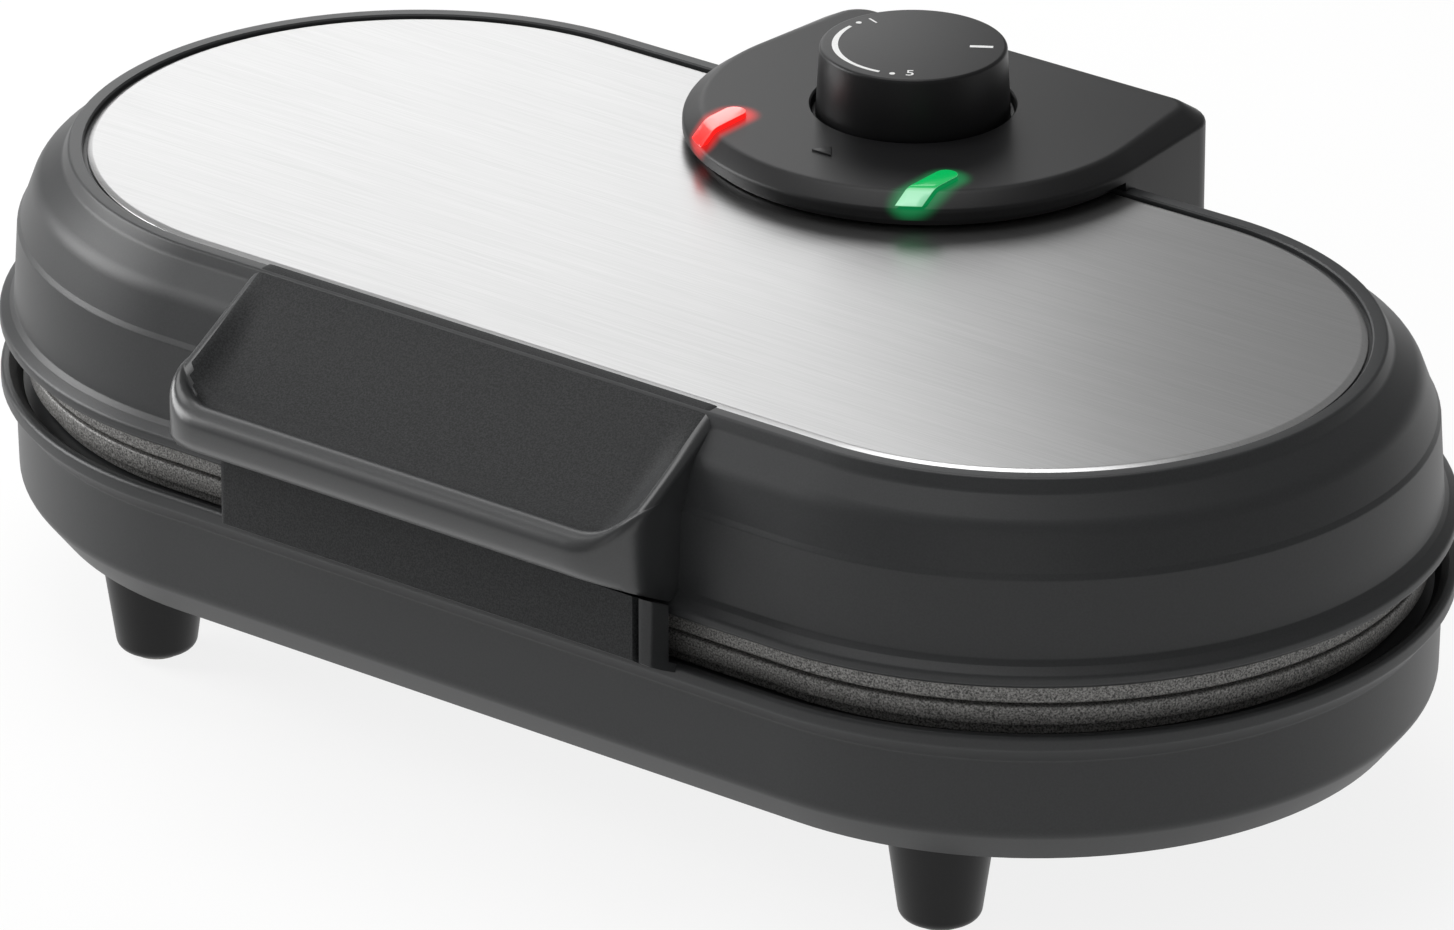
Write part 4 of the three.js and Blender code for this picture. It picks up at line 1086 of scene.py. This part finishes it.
def on_knob(angle, radius):
    """A point on the knob in plan, at an angle and a distance from its axis."""
    return Vector((KNOB_CENTER.x + radius * math.cos(angle), KNOB_CENTER.y + radius * math.sin(angle)))


def make_figure(name, figure, angle):
    """A figure of the heat scale, its top towards the middle of the knob."""
    deselect()
    place = on_knob(angle, FIGURE_RADIUS).to_3d()
    place.z = knob_top()
    bpy.ops.object.text_add(location=place, rotation=(0, 0, angle + math.pi / 2))
    text = bpy.context.object
    text.data.body = figure
    text.data.size = FIGURE_SIZE
    text.data.extrude = bpy.context.scene.knob_sizes.print_height
    text.data.align_x = "CENTER"
    text.data.align_y = "CENTER"
    bpy.ops.object.convert(target="MESH")
    piece = bpy.context.object
    bpy.ops.object.transform_apply(location=True, rotation=True, scale=True)
    piece.name = piece.data.name = name
    bpy.ops.object.mode_set(mode="EDIT")
    close_up()
    settle(piece, "dial", "black_plastic", finish_name="print")


def make_knob_marks(sizes):
    """A tapered heat arc between two dots, the figures at its ends and the stroke of the off place."""
    first, last = math.radians(HEAT_FIRST), math.radians(HEAT_LAST)
    outer, inner = [], []
    for i in range(HEAT_STEPS + 1):
        share = i / HEAT_STEPS
        angle = first + (last - first) * share
        # Widest before the middle, and of one width over the last quarter
        swell = math.sin(math.pi * min(0.85, share + 0.12))
        half = HEAT_HALF_WIDTH + HEAT_SWELL * swell
        outer.append(on_knob(angle, sizes.arc_radius + half))
        inner.append(on_knob(angle, sizes.arc_radius - half))
    flat_mark("heat_arc", outer + inner[::-1])
    for name, angle in DOTS.items():
        middle = on_knob(math.radians(angle), sizes.arc_radius)
        flat_mark(name, arc(middle, DOT_RADIUS, 0, 2 * math.pi, 20)[:-1])
    for name, (figure, angle) in FIGURES.items():
        make_figure(name, figure, math.radians(angle))
    along = math.radians(OFF_ANGLE)
    middle = on_knob(along, OFF_RADIUS)
    step = Vector((math.cos(along), math.sin(along))) * OFF_HALF_LENGTH
    side = step.orthogonal() * OFF_WIDTH_SHARE
    corners = [middle - step - side, middle + step - side, middle + step + side, middle - step + side]
    flat_mark("off_stroke", corners)


# Handle

# The finger bowl from its upper end to the lip, as shares of its length and its depth
BOWL_SHARES = [
    (0, 0), (0.12, 0.04), (0.24, 0.22), (0.36, 0.5), (0.48, 0.77), (0.6, 0.94), (0.72, 1.02), (0.84, 1.04),
    (0.94, 0.94),
]

# The depth share of the lip's crest, how far the lip turns down into the bowl, and the steps of its roll
CREST_SHARE = 0.3
LIP_TURN = math.radians(50)
LIP_STEPS = 11

# Cross-sections from the middle to a front corner, and round that corner
FLAT_ROWS = 8
CORNER_ROWS = 10

# How far behind the bowl's upper end the handle starts, and how deep it sits in the lid's wall
HANDLE_ROOT = 3 * MM
HANDLE_SINK = 0.4 * MM


def fall(radius, distance):
    """How far a rounded edge of a radius has fallen at a distance from where the rounding starts."""
    along = min(max(distance, 0), radius)
    return radius - math.sqrt(radius * radius - along * along)


def handle_row(sizes, offset):
    """One cross-section of the handle, at an offset from its middle."""
    half_width = (sizes.right - sizes.left) / 2
    side = abs(offset)
    # Towards its sides the handle ends sooner and lies lower, and its bowl fades out
    reach = -HANDLE_LOW.y - fall(sizes.corner, side - half_width + sizes.corner)
    drop = fall(sizes.side_round, side - half_width + sizes.side_round)
    level = min((half_width - side) / sizes.bowl_fade, 1)
    share = level * level * (3 - 2 * level)
    slope = (sizes.ridge_top - sizes.ridge_front) / (-HANDLE_LOW.y - sizes.ridge_start)

    def height(y, deep):
        """The height of the top at a distance from the axis, sunk by a share of the bowl's depth."""
        return sizes.ridge_top - (y - sizes.ridge_start) * slope - drop - sizes.bowl * share * deep

    roll, back = sizes.lip_round, LIP_TURN * share
    crest = (reach - roll, height(reach - roll, CREST_SHARE))
    lip_start = (crest[0] - roll * math.sin(back), crest[1] - roll * (1 - math.cos(back)))
    bowl = lip_start[0] - sizes.ridge_start
    rows = [(sizes.ridge_start + bowl * along, deep) for along, deep in BOWL_SHARES]
    top = [(y, height(y, deep)) for y, deep in rows] + [lip_start]
    turn = [(math.pi / 2 + back) * i / LIP_STEPS - back for i in range(1, LIP_STEPS + 1)]
    lip = [(crest[0] + roll * math.sin(a), crest[1] - roll * (1 - math.cos(a))) for a in turn]
    under = handle_under(reach)
    root = sizes.ridge_start - HANDLE_ROOT
    foot = [(reach, under + roll / 2), (reach - roll / 2, under - roll / 4)]
    heel = [(sizes.heel, HANDLE_LOW.z), (root, HANDLE_LOW.z)]
    outline = [Vector((root, sizes.ridge_top - drop))] + smooth(top, 3)
    outline += [Vector(point) for point in lip + foot + heel]
    middle = (sizes.right + sizes.left) / 2
    return [Vector((middle + offset, -point.x, point.y)) for point in outline]


def make_handle(sizes, lid):
    """The wedge-shaped grip: a grained finger bowl inside a satin lip."""
    half_width, middle = (sizes.right - sizes.left) / 2, (sizes.right + sizes.left) / 2
    flat = half_width - sizes.corner
    half = [flat * i / FLAT_ROWS for i in range(FLAT_ROWS)]
    half += [flat + sizes.corner * math.sin(math.pi / 2 * i / CORNER_ROWS) for i in range(CORNER_ROWS + 1)]
    offsets = [-offset for offset in half[:0:-1]] + half
    grip = loft("finger_grip", [handle_row(sizes, offset) for offset in offsets])
    envelope = [(point.x - HANDLE_SINK, point.y) for point in lid_outside(lid)]
    combine(grip, racetrack("lid_envelope", envelope, closed=False))

    def in_bowl(face):
        """Whether a face of the top lies behind the lip and between the side ridges."""
        side = abs(face.center.x - middle)
        roll = sizes.lip_round * (1 + math.sin(LIP_TURN))
        front = -HANDLE_LOW.y - roll - fall(sizes.corner, side - half_width + sizes.corner)
        return side < half_width - sizes.ridge and -face.center.y < front and face.normal.z > 0.3

    part_finish(grip, "lip_plastic", "grained_plastic", in_bowl)
    settle(grip, "lid", "grained_plastic", "handle", angle=45)


# Studio

# The camera fitted to the photo: turned right and down in degrees, with a long lens in millimetres
CAMERA_AZIMUTH = 37.554
CAMERA_ELEVATION = 24.701
CAMERA_PLACE = (1.55476, -2.01737, 1.23269)
CAMERA_LENS = 272.35
CAMERA_SENSOR = 36
CAMERA_RANGE = 50

# The floor's width, and how much of it shows as plain white
FLOOR_SIZE = 60
BACKDROP_SHARE = 0.85


def area_light(name, place, target, size, power):
    """A square soft light that faces a target."""
    deselect()
    place, target = Vector(place), Vector(target)
    turn = (target - place).to_track_quat("-Z", "Y").to_euler()
    bpy.ops.object.light_add(type="AREA", location=place, rotation=turn)
    light = bpy.context.object
    light.name = name
    light.data.shape = "SQUARE"
    light.data.size = size
    light.data.energy = power


def make_world():
    """An even grey surround, the same for every ray."""
    world = bpy.data.worlds.new("studio_surround")
    world.use_nodes = True
    tree = world.node_tree
    tree.nodes.clear()
    ambient = add(tree, "ShaderNodeBackground", {"Color": linear("#ffffff"), "Strength": 0.3})
    add(tree, "ShaderNodeOutputWorld", {"Surface": ambient.outputs[0]})
    bpy.context.scene.world = world


def make_floor(colours):
    """A pale worktop that fills the view: white where it is seen, with a faint shadow left on it."""
    deselect()
    bpy.ops.mesh.primitive_plane_add(size=FLOOR_SIZE, location=(0, 0, 0))
    floor = bpy.context.object
    floor.name = "studio_floor"
    made, tree, surface = finish("pale_floor", Roughness=0.9, Specular_IOR_Level=0.0)
    surface.inputs["Base Color"].default_value = colours.floor
    path = add(tree, "ShaderNodeLightPath")
    rays = {0: path.outputs["Is Camera Ray"], 1: path.outputs["Is Glossy Ray"]}
    direct = add(tree, "ShaderNodeMath", rays, operation="MAXIMUM")
    rays = {0: direct.outputs[0], 1: path.outputs["Is Transmission Ray"]}
    seen = add(tree, "ShaderNodeMath", rays, operation="MAXIMUM")
    share = add(tree, "ShaderNodeMath", {0: seen.outputs[0], 1: BACKDROP_SHARE}, operation="MULTIPLY")
    white = add(tree, "ShaderNodeEmission", {"Color": linear("#ffffff"), "Strength": 1.0})
    mixed = {0: share.outputs[0], 1: surface.outputs[0], 2: white.outputs[0]}
    both = add(tree, "ShaderNodeMixShader", mixed)
    tree.links.new(both.outputs[0], tree.nodes["Material Output"].inputs["Surface"])
    floor.data.materials.append(made)


def make_camera():
    """The camera of the photo's view."""
    deselect()
    turn = (math.radians(90 - CAMERA_ELEVATION), 0, math.radians(CAMERA_AZIMUTH))
    bpy.ops.object.camera_add(location=CAMERA_PLACE, rotation=turn)
    camera = bpy.context.object
    camera.name = "photo_camera"
    camera.data.sensor_fit = "HORIZONTAL"
    camera.data.sensor_width = CAMERA_SENSOR
    camera.data.lens = CAMERA_LENS
    camera.data.clip_end = CAMERA_RANGE
    bpy.context.scene.camera = camera


def make_studio(colours):
    """The surround, the floor, four soft lights and the camera."""
    bpy.context.scene.view_settings.view_transform = "Standard"
    make_world()
    make_floor(colours)
    middle, steel = (0, 0, 0.09), (0, 0, 0.12)
    area_light("key_light", (-1.46, -0.5, 0.75), middle, size=0.9, power=23)
    # The panel that the steel mirrors
    area_light("back_panel", (-0.93, 0.775, 0.626), steel, size=0.75, power=3.1)
    area_light("top_light", (-0.3, 0.1, 1.9), middle, size=1.2, power=15)
    area_light("front_light", (0.9, -1.6, 0.8), middle, size=1.2, power=2)
    make_camera()


# Operators: one for each piece or group of like pieces, and one for the studio


class PANCAKE_OT_finishes(bpy.types.Operator):
    """Makes the finishes and gives them to the CAD nodes that still show"""

    bl_idname = "pancake.finishes"
    bl_label = "Finishes"
    bl_options = {"REGISTER", "UNDO"}

    def execute(self, context):
        scene = context.scene
        make_finishes(scene.finish_colours, scene.console_sizes)
        slots = {part["node"]: part["material_slot"] for part in frame["record"]["subparts"]}
        for name, node in frame["nodes"].items():
            node.data.materials.clear()
            node.data.materials.append(FINISHES[slots[name]])
        return {"FINISHED"}


class PANCAKE_OT_base_casing(bpy.types.Operator):
    """Adds the base casing"""

    bl_idname = "pancake.base_casing"
    bl_label = "Base casing"
    bl_options = {"REGISTER", "UNDO"}

    def execute(self, context):
        make_base_casing(context.scene.base_sizes)
        return {"FINISHED"}


class PANCAKE_OT_guard(bpy.types.Operator):
    """Adds the front guard"""

    bl_idname = "pancake.guard"
    bl_label = "Front guard"
    bl_options = {"REGISTER", "UNDO"}

    def execute(self, context):
        make_guard(context.scene.guard_sizes, context.scene.base_sizes)
        return {"FINISHED"}


class PANCAKE_OT_hinge(bpy.types.Operator):
    """Adds the hinge's ears and arms"""

    bl_idname = "pancake.hinge"
    bl_label = "Hinge"
    bl_options = {"REGISTER", "UNDO"}

    def execute(self, context):
        scene = context.scene
        make_hinge(scene.hinge_sizes, scene.base_sizes, scene.lid_sizes)
        return {"FINISHED"}


class PANCAKE_OT_feet(bpy.types.Operator):
    """Adds the feet and their pads"""

    bl_idname = "pancake.feet"
    bl_label = "Feet"
    bl_options = {"REGISTER", "UNDO"}

    def execute(self, context):
        make_feet()
        return {"FINISHED"}


class PANCAKE_OT_plates(bpy.types.Operator):
    """Adds the two cooking plates"""

    bl_idname = "pancake.plates"
    bl_label = "Cooking plates"
    bl_options = {"REGISTER", "UNDO"}

    def execute(self, context):
        sizes = context.scene.plate_sizes
        low, high = PLATE_HIGH.z - sizes.thickness, UPPER_LOW.z + sizes.thickness
        make_plate("lower_cooking_plate", sizes, PLATE_HIGH.z, low, "base", "lower_plate")
        make_plate("upper_cooking_plate", sizes, UPPER_LOW.z, high, "lid", "upper_plate")
        return {"FINISHED"}


class PANCAKE_OT_lid_casing(bpy.types.Operator):
    """Adds the lid casing"""

    bl_idname = "pancake.lid_casing"
    bl_label = "Lid casing"
    bl_options = {"REGISTER", "UNDO"}

    def execute(self, context):
        make_lid_casing(context.scene.lid_sizes)
        return {"FINISHED"}


class PANCAKE_OT_inlay(bpy.types.Operator):
    """Adds the brushed steel sheet in the lid's rim"""

    bl_idname = "pancake.inlay"
    bl_label = "Steel inlay"
    bl_options = {"REGISTER", "UNDO"}

    def execute(self, context):
        make_inlay(context.scene.console_sizes)
        return {"FINISHED"}


class PANCAKE_OT_console(bpy.types.Operator):
    """Adds the console hood and its pointer"""

    bl_idname = "pancake.console"
    bl_label = "Console"
    bl_options = {"REGISTER", "UNDO"}

    def execute(self, context):
        make_hood(context.scene.console_sizes, context.scene.lid_sizes)
        make_pointer(context.scene.console_sizes)
        return {"FINISHED"}


class PANCAKE_OT_lamps(bpy.types.Operator):
    """Adds the red and green lamp lenses"""

    bl_idname = "pancake.lamps"
    bl_label = "Lamps"
    bl_options = {"REGISTER", "UNDO"}

    def execute(self, context):
        make_lamps(context.scene.console_sizes)
        return {"FINISHED"}


class PANCAKE_OT_knob(bpy.types.Operator):
    """Adds the heat knob and its printed marks"""

    bl_idname = "pancake.knob"
    bl_label = "Heat knob"
    bl_options = {"REGISTER", "UNDO"}

    def execute(self, context):
        make_knob(context.scene.knob_sizes)
        make_knob_marks(context.scene.knob_sizes)
        return {"FINISHED"}


class PANCAKE_OT_handle(bpy.types.Operator):
    """Adds the handle"""

    bl_idname = "pancake.handle"
    bl_label = "Handle"
    bl_options = {"REGISTER", "UNDO"}

    def execute(self, context):
        make_handle(context.scene.handle_sizes, context.scene.lid_sizes)
        return {"FINISHED"}


class PANCAKE_OT_studio(bpy.types.Operator):
    """Adds the floor, the lights and the camera"""

    bl_idname = "pancake.studio"
    bl_label = "Studio"
    bl_options = {"REGISTER", "UNDO"}

    def execute(self, context):
        make_studio(context.scene.finish_colours)
        return {"FINISHED"}


GROUPS = {
    "base_sizes": BaseSizes,
    "guard_sizes": GuardSizes,
    "hinge_sizes": HingeSizes,
    "plate_sizes": PlateSizes,
    "lid_sizes": LidSizes,
    "console_sizes": ConsoleSizes,
    "knob_sizes": KnobSizes,
    "handle_sizes": HandleSizes,
    "finish_colours": FinishColours,
}
STEPS = [
    PANCAKE_OT_finishes,
    PANCAKE_OT_base_casing,
    PANCAKE_OT_guard,
    PANCAKE_OT_hinge,
    PANCAKE_OT_feet,
    PANCAKE_OT_plates,
    PANCAKE_OT_lid_casing,
    PANCAKE_OT_inlay,
    PANCAKE_OT_console,
    PANCAKE_OT_lamps,
    PANCAKE_OT_knob,
    PANCAKE_OT_handle,
    PANCAKE_OT_studio,
]


class PANCAKE_PT_sidebar(bpy.types.Panel):
    """Lists the sizes and the steps"""

    bl_idname = "PANCAKE_PT_sidebar"
    bl_label = "Pancake Maker"
    bl_space_type = "VIEW_3D"
    bl_region_type = "UI"
    bl_category = "Pancake Maker"

    def draw(self, context):
        for name, group in GROUPS.items():
            box = self.layout.box()
            for key in group.__annotations__:
                box.prop(getattr(context.scene, name), key)
        for step in STEPS:
            self.layout.operator(step.bl_idname)


def register():
    """Adds the sizes, the steps and the panel."""
    for group in GROUPS.values():
        bpy.utils.register_class(group)
    for name, group in GROUPS.items():
        setattr(bpy.types.Scene, name, bpy.props.PointerProperty(type=group))
    for step in STEPS:
        bpy.utils.register_class(step)
    bpy.utils.register_class(PANCAKE_PT_sidebar)


def unregister():
    """Removes the panel, the steps and the sizes."""
    bpy.utils.unregister_class(PANCAKE_PT_sidebar)
    for step in reversed(STEPS):
        bpy.utils.unregister_class(step)
    for name, group in GROUPS.items():
        delattr(bpy.types.Scene, name)
        bpy.utils.unregister_class(group)


def main():
    """Runs every step."""
    register()
    bpy.ops.pancake.finishes()
    bpy.ops.pancake.base_casing()
    bpy.ops.pancake.guard()
    bpy.ops.pancake.hinge()
    bpy.ops.pancake.feet()
    bpy.ops.pancake.plates()
    bpy.ops.pancake.lid_casing()
    bpy.ops.pancake.inlay()
    bpy.ops.pancake.console()
    bpy.ops.pancake.lamps()
    bpy.ops.pancake.knob()
    bpy.ops.pancake.handle()
    bpy.ops.pancake.studio()


if __name__ == "__main__":
    main()
